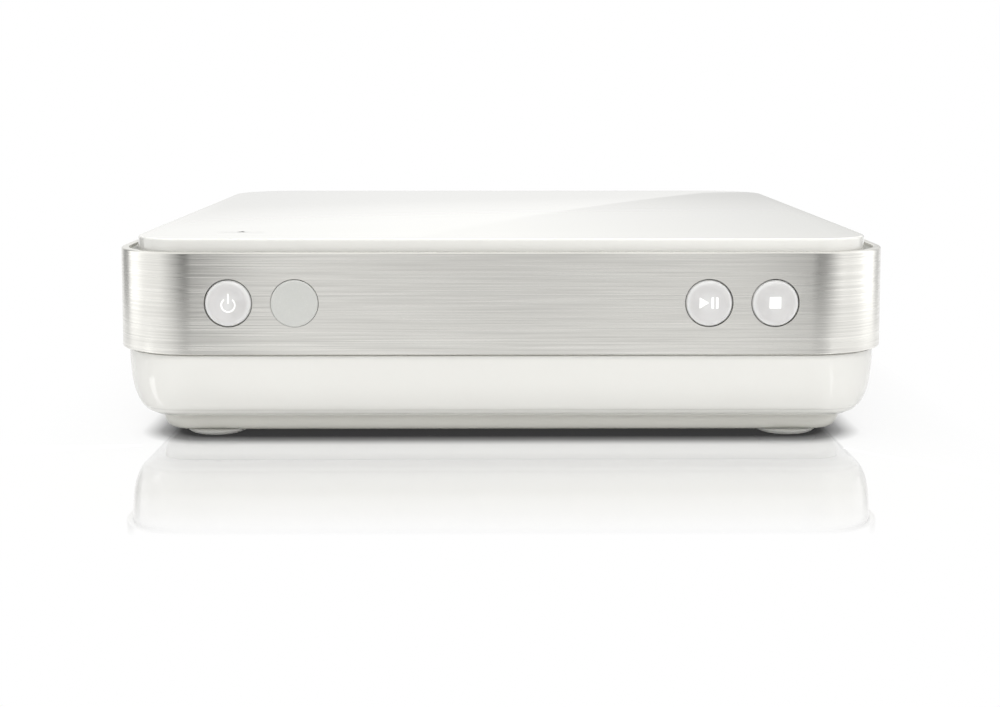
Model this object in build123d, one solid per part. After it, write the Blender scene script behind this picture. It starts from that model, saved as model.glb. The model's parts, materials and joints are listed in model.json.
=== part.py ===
from build123d import *
import os

# Compact top-loading disc player: a white lid and bowl around a brushed aluminium band.
# Millimetres. +Z is up, the front faces -Y, and the origin is on the table under the middle.
os.makedirs("parts", exist_ok=True)

# Case outline and the heights of its layers above the table
WIDTH = 250.0
DEPTH = 250.0
CORNER_RADIUS = 27.2
BOWL_BOTTOM = 7.6
PAN_BOTTOM = 2.1
PAN_FLOOR = 4.3
BAND_BOTTOM = 29.2
BAND_TOP = 61.6
LID_TOP = 65.7
WALL = 2.2

# Band and the frame behind it
BAND_THICK = 1.2
LIP_WIDTH = 2.4
LIP_THICK = 1.2
CARRIER_INNER = 2.5
LEDGE_WIDTH = 4.0
LEDGE_THICK = 1.8

# Lid and its hinge
LID_WIDTH = 236.8
LID_FRONT = -121.4
LID_BACK = 120.4
LID_FRONT_RADIUS = 18.0
LID_BACK_RADIUS = 24.0
LID_PLATE = 2.0
SKIRT_THICK = 1.8
SKIRT_BOTTOM = 59.0
LINER_THICK = 1.4
LINER_BACK = 88.0
HINGE_X = 80.0
HINGE_Y = 112.0
HINGE_Z = 61.0
PIN_RADIUS = 1.5
RUNNING_GAP = 0.05
KNUCKLE_RADIUS = 2.6
KNUCKLE_HALF = 7.0
EAR_THICK = 3.0
EAR_RADIUS = 2.4
EAR_GAP = 0.3

# Front controls
CONTROL_Z = 45.6
POWER_X = -86.3
WINDOW_X = -65.4
PLAY_X = 65.4
STOP_X = 86.3
CONTROL_HOLE_RADIUS = 7.65
BUTTON_RADIUS = 7.15
FLANGE_RECESS_RADIUS = 9.0
BOARD_FRONT_Y = -116.4
BOARD_THICK = 1.6

# Disc well
DISC_Y = -8.0
WELL_RADIUS = 63.0
SCOOP_RADIUS = 15.0
SCOOP_OFFSET = 60.0
DECK_INSET = 2.8
DECK_THICK = 2.0
DECK_TOP = 57.0
DECK_BACK = 98.0
DECK_WALL = 1.6
FLOOR_TOP = 51.8
FLOOR_BOTTOM = 50.0
TROUGH_TOP = 50.6
DATA_RADIUS = 41.0
HUB_OPENING_RADIUS = 17.0
SLOT_HALF_WIDTH = 12.5
SLOT_END = 62.6
TRAY_GAP = 0.2
LUG_REACH = 7.0
LUG_HALF = 5.0
LUG_THICK = 1.8

# Drive under the well
CHASSIS_TOP = 41.2
CHASSIS_THICK = 1.2
CHASSIS_HALF = 48.0
GROMMET_RIM = 1.6
ROD_RADIUS = 1.5
ROD_X = 21.0
ROD_Z = 45.0
SCREW_X = 30.0
SCREW_Z = 46.2
DRIVE_FRONT = -84.0
DRIVE_BACK = -15.0
LENS_REST = 24.0
SLED_HALF = 10.0

# Lid catch and the switch that knows when the lid is down
CATCH_X = -86.0
SWITCH_X = 86.0
CATCH_Y = -98.0

# Rear niche for the sockets
NICHE_HALF_WIDTH = 88.0
NICHE_BOTTOM = 31.4
NICHE_TOP = 47.4
NICHE_FRONT = 112.0
PANEL_THICK = 1.8
NICHE_WALL = 1.2
JACK_XS = (24.0, 38.0, 52.0, 66.0)
SCART_X = -14.0
INLET_X = -66.0

BACK = DEPTH / 2
FRONT = -DEPTH / 2
NICHE_Z = (NICHE_TOP + NICHE_BOTTOM) / 2
PANEL_FACE = NICHE_FRONT + PANEL_THICK
LID_UNDER = LID_TOP - LID_PLATE
LINER_UNDER = LID_UNDER - LINER_THICK
DECK_UNDER = DECK_TOP - DECK_THICK


def corners(half_x, half_y, centre_y=0.0):
    """Places at the corners of a rectangle."""
    return [(sx * half_x, centre_y + sy * half_y) for sx in (-1, 1) for sy in (-1, 1)]


CASE_SCREWS = corners(98.0, 60.0)
FRONT_POSTS = [(-42.0, -88.0), (42.0, -88.0)]
BACK_POSTS = [(-42.0, 20.0), (42.0, 20.0)]
MOUNT_POSTS = FRONT_POSTS + BACK_POSTS
MAIN_POSTS = corners(39.0, 60.0, -26.0)
POWER_POSTS = corners(35.0, 40.0, 48.0)
MAIN_X = 48.0
POWER_BOARD_X = -50.0
BOARD_POSTS = [(x + MAIN_X, y) for x, y in MAIN_POSTS]
BOARD_POSTS += [(x + POWER_BOARD_X, y) for x, y in POWER_POSTS]


# ------------------------------------------------------------ plain forms
def box(x0, x1, y0, y1, z0, z1):
    """Box between two opposite corners."""
    centre = Pos((x0 + x1) / 2, (y0 + y1) / 2, (z0 + z1) / 2)
    return centre * Box(x1 - x0, y1 - y0, z1 - z0)


def drum(x, y, z0, z1, radius):
    """Upright cylinder."""
    return Pos(x, y, (z0 + z1) / 2) * Cylinder(radius, z1 - z0)


def along_y(x, z, y0, y1, radius):
    """Cylinder that lies front to back."""
    return Pos(x, (y0 + y1) / 2, z) * Rot(90, 0, 0) * Cylinder(radius, y1 - y0)


def along_x(y, z, x0, x1, radius):
    """Cylinder that lies left to right."""
    return Pos((x0 + x1) / 2, y, z) * Rot(0, 90, 0) * Cylinder(radius, x1 - x0)


def prism(sketch, z0, z1):
    """Flat outline raised from one height to another."""
    return extrude(Plane.XY.offset(z0) * sketch, z1 - z0)


def outline(inset, radius=None):
    """The case's rounded square, drawn in from the band's outer face."""
    corner = CORNER_RADIUS - inset if radius is None else radius
    return RectangleRounded(WIDTH - 2 * inset, DEPTH - 2 * inset, corner)


def ring(inset, inner_inset, z0, z1):
    """Rounded square wall between two insets."""
    return prism(outline(inset) - outline(inner_inset), z0, z1)


def turned(points, x, y):
    """Solid turned about an upright axis from (radius, height) corners."""
    face = make_face(Polyline(*[(r, 0, z) for r, z in points], close=True))
    return Pos(x, y, 0) * revolve(face, Axis.Z)


def turned_front(points, x, z):
    """Solid turned about a front-to-back axis from (radius, y) corners."""
    face = make_face(Polyline(*[(r, y, 0) for r, y in points], close=True))
    return Pos(x, 0, z) * revolve(face, Axis.Y)


def side_prism(points, x0, x1):
    """Outline given as (y, z) points, as thick as from x0 to x1."""
    face = make_face(Polyline(*[(x0, y, z) for y, z in points], close=True))
    return extrude(face, x1 - x0, dir=(1, 0, 0))


def group(solids):
    return Compound(children=list(solids))


def save(node, shape):
    export_step(shape, f"parts/{node}.step")


# ------------------------------------------------------------------- case
def rear_block(grow, y0, y1):
    """The rear niche's rounded oblong, as deep as from y0 to y1."""
    width = 2 * (NICHE_HALF_WIDTH + grow)
    height = NICHE_TOP - NICHE_BOTTOM + 2 * grow
    plane = Plane(origin=(0, y0, NICHE_Z), x_dir=(1, 0, 0), z_dir=(0, 1, 0))
    return extrude(plane * RectangleRounded(width, height, 2.4 + grow), y1 - y0)


def front_holes(y1):
    """Cutters through the front at the round controls."""
    xs = (POWER_X, WINDOW_X, PLAY_X, STOP_X)
    return [along_y(x, CONTROL_Z, FRONT - 1, y1, CONTROL_HOLE_RADIUS) for x in xs]


def band():
    """Aluminium band whose edges roll in over the frame."""
    body = ring(0, BAND_THICK, BAND_BOTTOM, BAND_TOP)
    body += ring(0, LIP_WIDTH, BAND_TOP - LIP_THICK, BAND_TOP)
    body += ring(0, BAND_THICK + 0.7, BAND_BOTTOM, BAND_BOTTOM + 0.8)
    top = body.faces().filter_by(Axis.Z).sort_by(Axis.Z)[-1]
    body = fillet(top.outer_wire().edges(), 0.5)
    bottom = body.faces().filter_by(Axis.Z).sort_by(Axis.Z)[0]
    body = fillet(bottom.outer_wire().edges(), 0.3)
    return body - front_holes(FRONT + 3) - rear_block(0, BACK - 3, BACK + 1)


def band_carrier():
    """Frame behind the band: a wall, a ledge for the deck and four screw bosses."""
    wall = ring(BAND_THICK, CARRIER_INNER, BAND_BOTTOM + 0.8, BAND_TOP - LIP_THICK)
    ledge = ring(CARRIER_INNER, CARRIER_INNER + LEDGE_WIDTH, DECK_UNDER - LEDGE_THICK, DECK_UNDER)
    body = wall + (ledge - box(-WIDTH, WIDTH, DECK_BACK - 2, BACK, 50, 60))
    for x, y in CASE_SCREWS:
        side = 1 if x > 0 else -1
        web = box(min(x, side * 123), max(x, side * 123), y - 1.2, y + 1.2, 37, DECK_UNDER)
        body += drum(x, y, BAND_BOTTOM + 4, DECK_UNDER, 3.8) + web
    xs = (POWER_X, WINDOW_X, PLAY_X, STOP_X)
    body -= [along_y(x, CONTROL_Z, FRONT + CARRIER_INNER, FRONT + 8, FLANGE_RECESS_RADIUS) for x in xs]
    body -= [drum(x, y, BAND_BOTTOM + 3, DECK_UNDER + 1, 1.5) for x, y in CASE_SCREWS]
    return body - front_holes(FRONT + 3) - rear_block(0, BACK - 4, BACK + 1)


# Height, inset from the band and corner radius of the bowl, from its rim down
BOWL = (
    (31.0, 2.1, 25.0),
    (24.0, 2.4, 24.0),
    (17.0, 3.5, 21.5),
    (12.0, 5.6, 17.5),
    (9.0, 8.2, 13.5),
    (BOWL_BOTTOM, 11.0, 10.5),
)


def bowl(thinner, lift):
    """Bowl form: each level is a rounded square, smaller towards the table."""
    levels = [
        Plane.XY.offset(z + lift) * outline(inset + thinner, radius - thinner)
        for z, inset, radius in BOWL
    ]
    return loft(levels)


def lower_shell():
    """Glossy bowl with posts for the boards and towers for the case screws."""
    body = bowl(0, 0) - bowl(WALL, WALL)
    body -= ring(0, BAND_THICK + 0.7, BAND_BOTTOM, 40) + ring(0, CARRIER_INNER, BAND_BOTTOM + 0.8, 40)
    floor = BOWL_BOTTOM + WALL
    for x, y in BOARD_POSTS:
        body += drum(x, y, floor - 0.5, 16, 3.0)
    for x, y in CASE_SCREWS:
        body += drum(x, y, floor - 0.5, BAND_BOTTOM + 4, 3.8)
    body -= [drum(x, y, floor + 0.8, 17, 1.2) for x, y in BOARD_POSTS]
    body -= [drum(x, y, 0, 40, 1.8) for x, y in CASE_SCREWS]
    return body - vent_slots()


# Height, half-width and corner radius of the base pan, from its rim down
PAN = ((BOWL_BOTTOM, 113.4, 9.5), (5.6, 112.8, 9.2), (3.6, 110.4, 8.2), (PAN_BOTTOM, 106.6, 7.0))


def vent_slots():
    """Cutters for two rows of cooling slots in the bottom."""
    xs = range(-54, 60, 9)
    return [box(x - 1.5, x + 1.5, y - 14, y + 14, 0, 12) for x in xs for y in (-58, 72)]


def base_pan():
    """Shallow pan under the bowl, hollowed above, with countersinks for the screws."""
    body = loft([Plane.XY.offset(z) * RectangleRounded(2 * w, 2 * w, r) for z, w, r in PAN])
    body -= box(-90, 90, -104, 104, PAN_FLOOR, 9)
    body -= [drum(x, y, 0, 10, 1.8) for x, y in CASE_SCREWS]
    body -= [drum(x, y, 0, 5.0, 3.6) for x, y in CASE_SCREWS]
    return body - vent_slots()


def feet():
    """Four rubber pads, rounded towards the table."""
    profile = [(0, 0), (6.2, 0), (8.6, 0.55), (10.0, 1.4), (10.4, PAN_BOTTOM), (0, PAN_BOTTOM)]
    return group(turned(profile, x, y) for x, y in corners(93.6, 94.0, -8.0))


def case_screws():
    """Long screws from the pan up into the frame's bosses."""
    shank = [(0, 3.4), (3.2, 3.4), (3.2, 5.0), (1.5, 5.0), (1.5, 42.0), (0, 43.2)]
    return group(turned(shank, x, y) for x, y in CASE_SCREWS)


# -------------------------------------------------------------------- lid
def lid_outline(inset):
    """The lid's outline, drawn in by an inset: its back corners clear the band as it swings."""
    depth = LID_BACK - LID_FRONT
    shape = Pos(0, (LID_BACK + LID_FRONT) / 2) * Rectangle(LID_WIDTH - 2 * inset, depth - 2 * inset)
    shape = fillet(shape.vertices().sort_by(Axis.Y)[:2], LID_FRONT_RADIUS - inset)
    return fillet(shape.vertices().sort_by(Axis.Y)[-2:], LID_BACK_RADIUS - inset)


def lid_cover():
    """Glossy top plate with a turned-down edge."""
    body = prism(lid_outline(0), SKIRT_BOTTOM, LID_TOP)
    body -= prism(lid_outline(SKIRT_THICK), SKIRT_BOTTOM - 1, LID_UNDER)
    return fillet(body.faces().sort_by(Axis.Z)[-1].outer_wire().edges(), 1.3)


def lid_liner():
    """Inner panel: hinge knuckles at the back and a seat for the striker."""
    panel = prism(lid_outline(SKIRT_THICK + 0.1), LINER_UNDER, LID_UNDER)
    body = panel - box(-WIDTH, WIDTH, LINER_BACK, BACK, 50, 70)
    body += drum(CATCH_X, CATCH_Y, LINER_UNDER - 0.6, LINER_UNDER, 6.0)
    body -= drum(CATCH_X, CATCH_Y, 50, LINER_UNDER, 4.6)
    for side in (-1, 1):
        low, high = side * HINGE_X - KNUCKLE_HALF, side * HINGE_X + KNUCKLE_HALF
        body += box(low, high, LINER_BACK - 2, HINGE_Y, LINER_UNDER, LID_UNDER)
        body += along_x(HINGE_Y, HINGE_Z, low, high, KNUCKLE_RADIUS)
        body -= along_x(HINGE_Y, HINGE_Z, low - 1, high + 1, PIN_RADIUS + RUNNING_GAP)
    return body


def switch_flag():
    """Tab under the lid that drops into the optical fork."""
    return box(SWITCH_X - 1, SWITCH_X + 1, CATCH_Y - 3, CATCH_Y + 3, DECK_TOP - 6, LINER_UNDER)


def disc_retainer():
    """Ring over the spindle that keeps a loose disc from riding up."""
    shape = [(9.5, LINER_UNDER - 3.2), (10.3, LINER_UNDER - 3.6), (12.7, LINER_UNDER - 3.6)]
    shape += [(13.5, LINER_UNDER - 3.2), (13.5, LINER_UNDER), (9.5, LINER_UNDER)]
    return turned(shape, 0, DISC_Y)


def striker_plate():
    """Steel disc in the liner that the catch holds."""
    return drum(CATCH_X, CATCH_Y, LINER_UNDER - 1.0, LINER_UNDER, 4.6)


# ------------------------------------------------------------------- deck
def well_outline():
    """Disc recess with a finger scoop on each side."""
    shape = Pos(0, DISC_Y) * Circle(WELL_RADIUS)
    for side in (-1, 1):
        shape += Pos(side * SCOOP_OFFSET, DISC_Y) * Circle(SCOOP_RADIUS)
    return shape


def with_posts(body, places, top):
    """Body with hollow posts under it that carry the drive's plate."""
    for x, y in places:
        body += drum(x, y, CHASSIS_TOP + GROMMET_RIM, top, 3.6)
        body -= drum(x, y, CHASSIS_TOP, top - 1, 1.5)
    return body


def hinge_ear(x0, x1):
    """Arm that reaches back from the deck to carry one end of a hinge pin."""
    arm = [
        (DECK_BACK - 8, DECK_TOP),
        (HINGE_Y, HINGE_Z + EAR_RADIUS),
        (HINGE_Y, HINGE_Z - EAR_RADIUS),
        (DECK_BACK, DECK_UNDER),
        (DECK_BACK - 8, DECK_UNDER),
    ]
    return side_prism(arm, x0, x1) + along_x(HINGE_Y, HINGE_Z, x0, x1, EAR_RADIUS)


def disc_deck():
    """Deck inside the band: opening for the tray, trough for the lid's back edge, hinge ears."""
    plan = outline(DECK_INSET)
    behind = box(-WIDTH, WIDTH, DECK_BACK, BACK, 40, 60)
    step = box(-WIDTH, WIDTH, DECK_BACK - DECK_WALL, DECK_BACK, 40, 60)
    body = prism(plan, DECK_UNDER, DECK_TOP) - behind
    body += prism(plan, TROUGH_TOP - DECK_WALL, TROUGH_TOP) & (behind + step)
    body += prism(plan, TROUGH_TOP - DECK_WALL, DECK_TOP) & step
    body -= prism(offset(well_outline(), DECK_WALL + TRAY_GAP), FLOOR_BOTTOM, DECK_TOP + 1)
    for side in (-1, 1):
        for near in (KNUCKLE_HALF + EAR_GAP, -KNUCKLE_HALF - EAR_GAP - EAR_THICK):
            start = side * HINGE_X + near
            body += hinge_ear(start, start + EAR_THICK)
    body = with_posts(body, FRONT_POSTS, DECK_UNDER)
    body -= drum(CATCH_X, CATCH_Y, 50, 60, 3.5)
    body -= box(SWITCH_X - 2, SWITCH_X + 2, CATCH_Y - 5, CATCH_Y + 5, 50, 60)
    body -= along_x(HINGE_Y, HINGE_Z, -HINGE_X - 20, HINGE_X + 20, PIN_RADIUS)
    body -= [drum(x, y, DECK_TOP - 1.2, 60, 3.1) for x, y in CASE_SCREWS]
    return body - [drum(x, y, 50, 60, 1.5) for x, y in CASE_SCREWS]


def disc_tray():
    """Dished tray for the disc, open for the hub and the lens, on lugs under the deck."""
    well = well_outline()
    body = prism(offset(well, DECK_WALL), FLOOR_BOTTOM, DECK_TOP)
    body -= prism(well, FLOOR_TOP, DECK_TOP + 1)
    body -= drum(0, DISC_Y, FLOOR_TOP - 0.8, FLOOR_TOP + 1, DATA_RADIUS)
    rim = WELL_RADIUS + DECK_WALL
    lug = box(rim - 0.6, rim + LUG_REACH, -LUG_HALF, LUG_HALF, DECK_UNDER - LUG_THICK, DECK_UNDER)
    for turn in (50, 130, 230, 310):
        body += Pos(0, DISC_Y, 0) * Rot(0, 0, turn) * lug
    body = with_posts(body, BACK_POSTS, FLOOR_BOTTOM)
    body -= drum(0, DISC_Y, 40, 60, HUB_OPENING_RADIUS)
    return body - box(-SLOT_HALF_WIDTH, SLOT_HALF_WIDTH, DISC_Y - SLOT_END, DISC_Y, 49, 60)


def deck_screws():
    """Screws that hold the deck on the frame's bosses."""
    head = DECK_TOP - 1.2
    shape = [(0, 46.0), (1.5, 47.0), (1.5, head), (2.9, head), (2.9, DECK_TOP), (0, DECK_TOP)]
    return group(turned(shape, x, y) for x, y in CASE_SCREWS)


def hinge_pins():
    """Two steel pins, each through a pair of ears."""
    reach = KNUCKLE_HALF + EAR_GAP + EAR_THICK
    return group(
        along_x(HINGE_Y, HINGE_Z, side * HINGE_X - reach, side * HINGE_X + reach, PIN_RADIUS)
        for side in (-1, 1)
    )


def lid_bumpers():
    """Four soft pads that the lid's edge comes down on."""
    places = corners(LID_WIDTH / 2 - 1.2, 74.0, -10.0)
    profile = [(0, DECK_TOP), (1.8, DECK_TOP), (1.5, SKIRT_BOTTOM - 0.05), (0, SKIRT_BOTTOM - 0.05)]
    return group(turned(profile, x, y) for x, y in places)


def catch_housing():
    """Cup under the deck that guides the catch."""
    cup = [(0, 43.0), (6.0, 43.0), (6.0, DECK_UNDER), (3.3, DECK_UNDER), (3.3, 46.0), (0, 46.0)]
    return turned(cup, CATCH_X, CATCH_Y)


def catch_plunger():
    """Press-down catch with a rounded steel tip under the lid."""
    top = LINER_UNDER - 1.1
    shape = [(0, 47.8), (3.0, 47.8), (3.0, top - 0.8), (2.2, top), (0, top)]
    return turned(shape, CATCH_X, CATCH_Y)


def lid_switch():
    """Optical fork that the lid's flag drops into."""
    body = box(SWITCH_X - 6, SWITCH_X + 6, CATCH_Y - 6, CATCH_Y + 6, 43.5, DECK_UNDER)
    return body - box(SWITCH_X - 2.2, SWITCH_X + 2.2, CATCH_Y - 7, CATCH_Y + 7, 48.5, DECK_UNDER + 1)


# --------------------------------------------------------- front controls
def button(x):
    """Round cap with a dished face, a rolled rim and a flange behind the frame."""
    with BuildSketch(Plane.XY) as section:
        with BuildLine():
            ThreePointArc((0, -124.95), (2.8, -125.05), (5.3, -125.4))
            ThreePointArc((5.3, -125.4), (6.75, -125.1), (BUTTON_RADIUS, -124.1))
            Polyline(
                (BUTTON_RADIUS, -124.1),
                (BUTTON_RADIUS, -122.3),
                (8.4, -122.3),
                (8.4, -121.5),
                (0, -121.5),
                (0, -124.95),
            )
        make_face()
    return Pos(x, 0, CONTROL_Z) * revolve(section.sketch, Axis.Y)


def ir_window():
    """Flush round window with a flange behind the frame."""
    shape = [
        (0, -125.0),
        (7.3, -125.0),
        (CONTROL_HOLE_RADIUS - 0.15, -124.85),
        (CONTROL_HOLE_RADIUS - 0.15, -122.4),
        (8.6, -122.4),
        (8.6, -121.4),
        (0, -121.4),
    ]
    return turned_front(shape, WINDOW_X, CONTROL_Z)


def front_board():
    """Narrow board that carries the switches and the receiver."""
    y0, y1 = BOARD_FRONT_Y, BOARD_FRONT_Y + BOARD_THICK
    body = box(-98, 98, y0, y1, 37, 52.6)
    return body - [along_y(x, 40, y0 - 1, y1 + 1, 1.4) for x in (-45, 0, 45)]


def tact_switch(x):
    """Small square switch with a round plunger."""
    body = box(x - 3, x + 3, BOARD_FRONT_Y - 3.4, BOARD_FRONT_Y, CONTROL_Z - 3, CONTROL_Z + 3)
    return body + along_y(x, CONTROL_Z, BOARD_FRONT_Y - 4.2, BOARD_FRONT_Y - 3, 1.7)


def lamp(x):
    """Lamp that lights a button's sign from behind."""
    tip = BOARD_FRONT_Y - 2.4
    base = along_y(x, CONTROL_Z + 5, tip, BOARD_FRONT_Y, 1.5)
    return base + Pos(x, tip, CONTROL_Z + 5) * Sphere(1.5)


def ir_receiver():
    """Receiver block with a round eye behind the window."""
    y0 = BOARD_FRONT_Y - 2.6
    body = box(WINDOW_X - 3, WINDOW_X + 3, y0, BOARD_FRONT_Y, CONTROL_Z - 3.5, CONTROL_Z + 3.5)
    return body + Pos(WINDOW_X, y0, CONTROL_Z) * Sphere(2.2)


# ------------------------------------------------------------------ drive
def mech_chassis():
    """Pressed steel plate with turned-down edges, a window and rod holders."""
    low = CHASSIS_TOP - CHASSIS_THICK
    half = CHASSIS_HALF
    body = box(-half, half, -96, 28, low, CHASSIS_TOP)
    for side in (-1, 1):
        edge = side * half
        inner = side * (half - 1.2)
        body += box(min(edge, inner), max(edge, inner), -76, 8, low - 5, CHASSIS_TOP)
    body -= box(-16, 16, -80, -21, 30, 50)
    body -= drum(0, DISC_Y, 30, 50, 4.0)
    body -= [drum(x, y, 30, 50, 4.2) for x, y in MOUNT_POSTS]
    for x in (-ROD_X, ROD_X):
        for y in (DRIVE_FRONT, DRIVE_BACK - 3):
            holder = box(x - 2.8, x + 2.8, y, y + 3, low, ROD_Z + 2.6)
            body += holder - along_y(x, ROD_Z, y - 1, y + 4, ROD_RADIUS)
    return body


def mech_grommets():
    """Grooved rubber bushes that float the plate on the deck's posts."""
    low = CHASSIS_TOP - CHASSIS_THICK
    groove = [
        (1.9, low - GROMMET_RIM),
        (6.0, low - GROMMET_RIM),
        (6.0, low),
        (4.1, low),
        (4.1, CHASSIS_TOP),
        (6.0, CHASSIS_TOP),
        (6.0, CHASSIS_TOP + GROMMET_RIM),
        (1.9, CHASSIS_TOP + GROMMET_RIM),
    ]
    return group(turned(groove, x, y) for x, y in MOUNT_POSTS)


def mech_screws():
    """Headed screws through the grommets into the posts."""
    seat = CHASSIS_TOP - CHASSIS_THICK - GROMMET_RIM
    shape = [(0, seat - 2), (4.2, seat - 2), (4.2, seat), (1.5, seat), (1.5, 48.0), (0, 49.0)]
    return group(turned(shape, x, y) for x, y in MOUNT_POSTS)


def spindle_motor():
    """Flat motor can with its shaft."""
    shape = [
        (0, 39.0),
        (3.6, 39.0),
        (3.6, CHASSIS_TOP),
        (12.5, CHASSIS_TOP),
        (12.5, 48.0),
        (11.6, 48.9),
        (4.0, 48.9),
        (4.0, 49.4),
        (1.0, 49.4),
        (1.0, 53.6),
        (0, 53.6),
    ]
    return turned(shape, 0, DISC_Y)


def turntable():
    """Platter and hub with three fingers that snap over the disc."""
    shape = [
        (0, 54.0),
        (1.0 + RUNNING_GAP, 54.0),
        (1.0 + RUNNING_GAP, 49.8),
        (5.5, 49.8),
        (5.5, 51.4),
        (15.0, 51.4),
        (15.0, 53.0),
        (14.4, 53.0),
        (14.4, 52.5),
        (10.4, 52.5),
        (10.4, 53.0),
        (7.35, 53.0),
        (7.35, 55.4),
        (6.2, 56.6),
        (4.2, 56.9),
        (0, 56.9),
    ]
    body = turned(shape, 0, DISC_Y)
    finger = [(4.0, 54.7), (7.7, 55.2), (7.4, 56.0), (4.0, 56.2)]
    tips = turned(finger, 0, DISC_Y)
    for turn in (90, 210, 330):
        middle = Pos(0, DISC_Y, 0) * Rot(0, 0, turn)
        body += tips & (middle * box(0, 10, -1.6, 1.6, 50, 60))
        for edge in (-2.3, 1.7):
            body -= middle * box(4.6, 9, edge, edge + 0.6, 53.6, 60)
    return body


def platter_ring():
    """Rubber ring that grips the disc."""
    shape = [(10.5, 52.5), (14.3, 52.5), (14.3, 53.2), (14.0, 53.4), (10.8, 53.4), (10.5, 53.2)]
    return turned(shape, 0, DISC_Y)


def guide_rods():
    return group(along_y(x, ROD_Z, DRIVE_FRONT, DRIVE_BACK, ROD_RADIUS) for x in (-ROD_X, ROD_X))


def pickup_sled():
    """Moulded sled: a bushed sleeve on one rod, a fork on the other, a nut on the screw."""
    middle = DISC_Y - LENS_REST
    y0, y1 = middle - SLED_HALF, middle + SLED_HALF
    body = box(-13, 13, y0, y1, 41.9, 48.4) + box(-12, 12, y0 + 1, y1 - 1, 36.5, 42)
    body += box(-ROD_X, -12, y0 + 2, y1 - 2, ROD_Z - 2.4, ROD_Z + 2.4)
    body += along_y(-ROD_X, ROD_Z, y0, y1, 3.3)
    body += box(12, SCREW_X + 3.2, middle - 5, middle + 5, 42.4, 49.2)
    body -= along_y(-ROD_X, ROD_Z, y0 - 1, y1 + 1, ROD_RADIUS + RUNNING_GAP)
    body -= box(ROD_X - 2.6, ROD_X + 2.6, y0, y1, ROD_Z - 1.7, ROD_Z + 1.7)
    body -= along_y(SCREW_X, SCREW_Z, y0, y1, 1.8)
    return body


def lens_holder():
    """Moving frame on the sled with a round seat for the lens."""
    middle = DISC_Y - LENS_REST
    body = box(-9, 9, middle - 5, middle + 5, 48.4, 50.8)
    body = fillet(body.edges().filter_by(Axis.Z), 1.5)
    body += drum(0, middle, 50.8, 51.6, 4.2)
    return body - drum(0, middle, 50.6, 52, 3.0)


def lens():
    middle = DISC_Y - LENS_REST
    shape = [(0, 50.6), (3.0, 50.6), (3.0, 51.5), (2.2, 52.1), (1.0, 52.4), (0, 52.45)]
    return turned(shape, 0, middle)


def sled_motor():
    """Stepper can on the front of the plate, open for the screw's end."""
    body = along_y(SCREW_X, SCREW_Z, -95.5, DRIVE_FRONT - 1.0, 5.0)
    body += box(SCREW_X - 6, SCREW_X + 6, DRIVE_FRONT - 1.0, DRIVE_FRONT, CHASSIS_TOP, SCREW_Z + 5)
    return body - along_y(SCREW_X, SCREW_Z, -92, DRIVE_FRONT + 1, ROD_RADIUS + RUNNING_GAP)


def lead_screw():
    """Screw that turns in the motor and the bracket and drives the sled."""
    body = along_y(SCREW_X, SCREW_Z, -91.8, DRIVE_BACK + 1, ROD_RADIUS)
    return body + along_y(SCREW_X, SCREW_Z, -82.0, -81.0, 2.6)


def screw_bracket():
    """Post that carries the screw's free end."""
    y = DRIVE_BACK
    foot = box(SCREW_X - 3.5, SCREW_X + 3.5, y - 3, y + 3, CHASSIS_TOP, CHASSIS_TOP + 1.2)
    post = box(SCREW_X - 2.8, SCREW_X + 2.8, y - 1, y + 1, CHASSIS_TOP, SCREW_Z + 2.6)
    hole = along_y(SCREW_X, SCREW_Z, y - 4, y + 4, ROD_RADIUS + RUNNING_GAP)
    return foot + post - hole


# ------------------------------------------------------------ electronics
def board(x, posts, margin):
    """Circuit board on its posts."""
    xs = [x + px for px, _ in posts]
    ys = [py for _, py in posts]
    x0, x1 = min(xs) - margin, max(xs) + margin
    y0, y1 = min(ys) - margin, max(ys) + margin
    body = box(x0, x1, y0, y1, 16, 16 + BOARD_THICK)
    return body - [drum(px, py, 15, 19, 1.3) for px, py in zip(xs, ys)]


def main_chips():
    """Decoder, memory and the plug-in sockets of the main board."""
    top = 16 + BOARD_THICK
    blocks = [
        box(36, 62, -40, -14, top, top + 2.4),
        box(20, 30, -40, -18, top, top + 1.4),
        box(66, 72, -70, -40, top, top + 6.0),
        box(24, 52, 12, 19, top, top + 6.0),
    ]
    return group(blocks)


def transformer():
    """Ferrite core on a bobbin."""
    top = 16 + BOARD_THICK
    x, y = -58, 42
    core = box(x - 14, x + 14, y - 6, y + 6, top + 2, top + 24)
    bobbin = box(x - 9, x + 9, y - 11, y + 11, top + 5, top + 21)
    return core + bobbin + box(x - 13, x + 13, y - 12, y + 12, top, top + 3)


def capacitors():
    """Upright capacitors of the power supply."""
    top = 16 + BOARD_THICK
    sizes = [(-72, 72, 9.0, 24), (-24, 52, 5.0, 16), (-24, 68, 5.0, 16), (-38, 72, 4.0, 12)]
    return group(drum(x, y, top, top + height, radius) for x, y, radius, height in sizes)


# ---------------------------------------------------------------- sockets
def rear_panel():
    """Niche moulding that carries the sockets."""
    body = rear_block(-0.15, NICHE_FRONT, BACK - 0.6)
    body -= rear_block(-0.15 - NICHE_WALL, PANEL_FACE, BACK + 1)
    body -= box(SCART_X - 23.5, SCART_X + 23.5, 110, 116, NICHE_Z - 6.2, NICHE_Z + 6.2)
    body -= box(INLET_X - 10, INLET_X + 10, 110, 116, NICHE_Z - 5.2, NICHE_Z + 5.2)
    return body - [along_y(x, NICHE_Z, 110, 116, 5.2) for x in JACK_XS]


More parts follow.
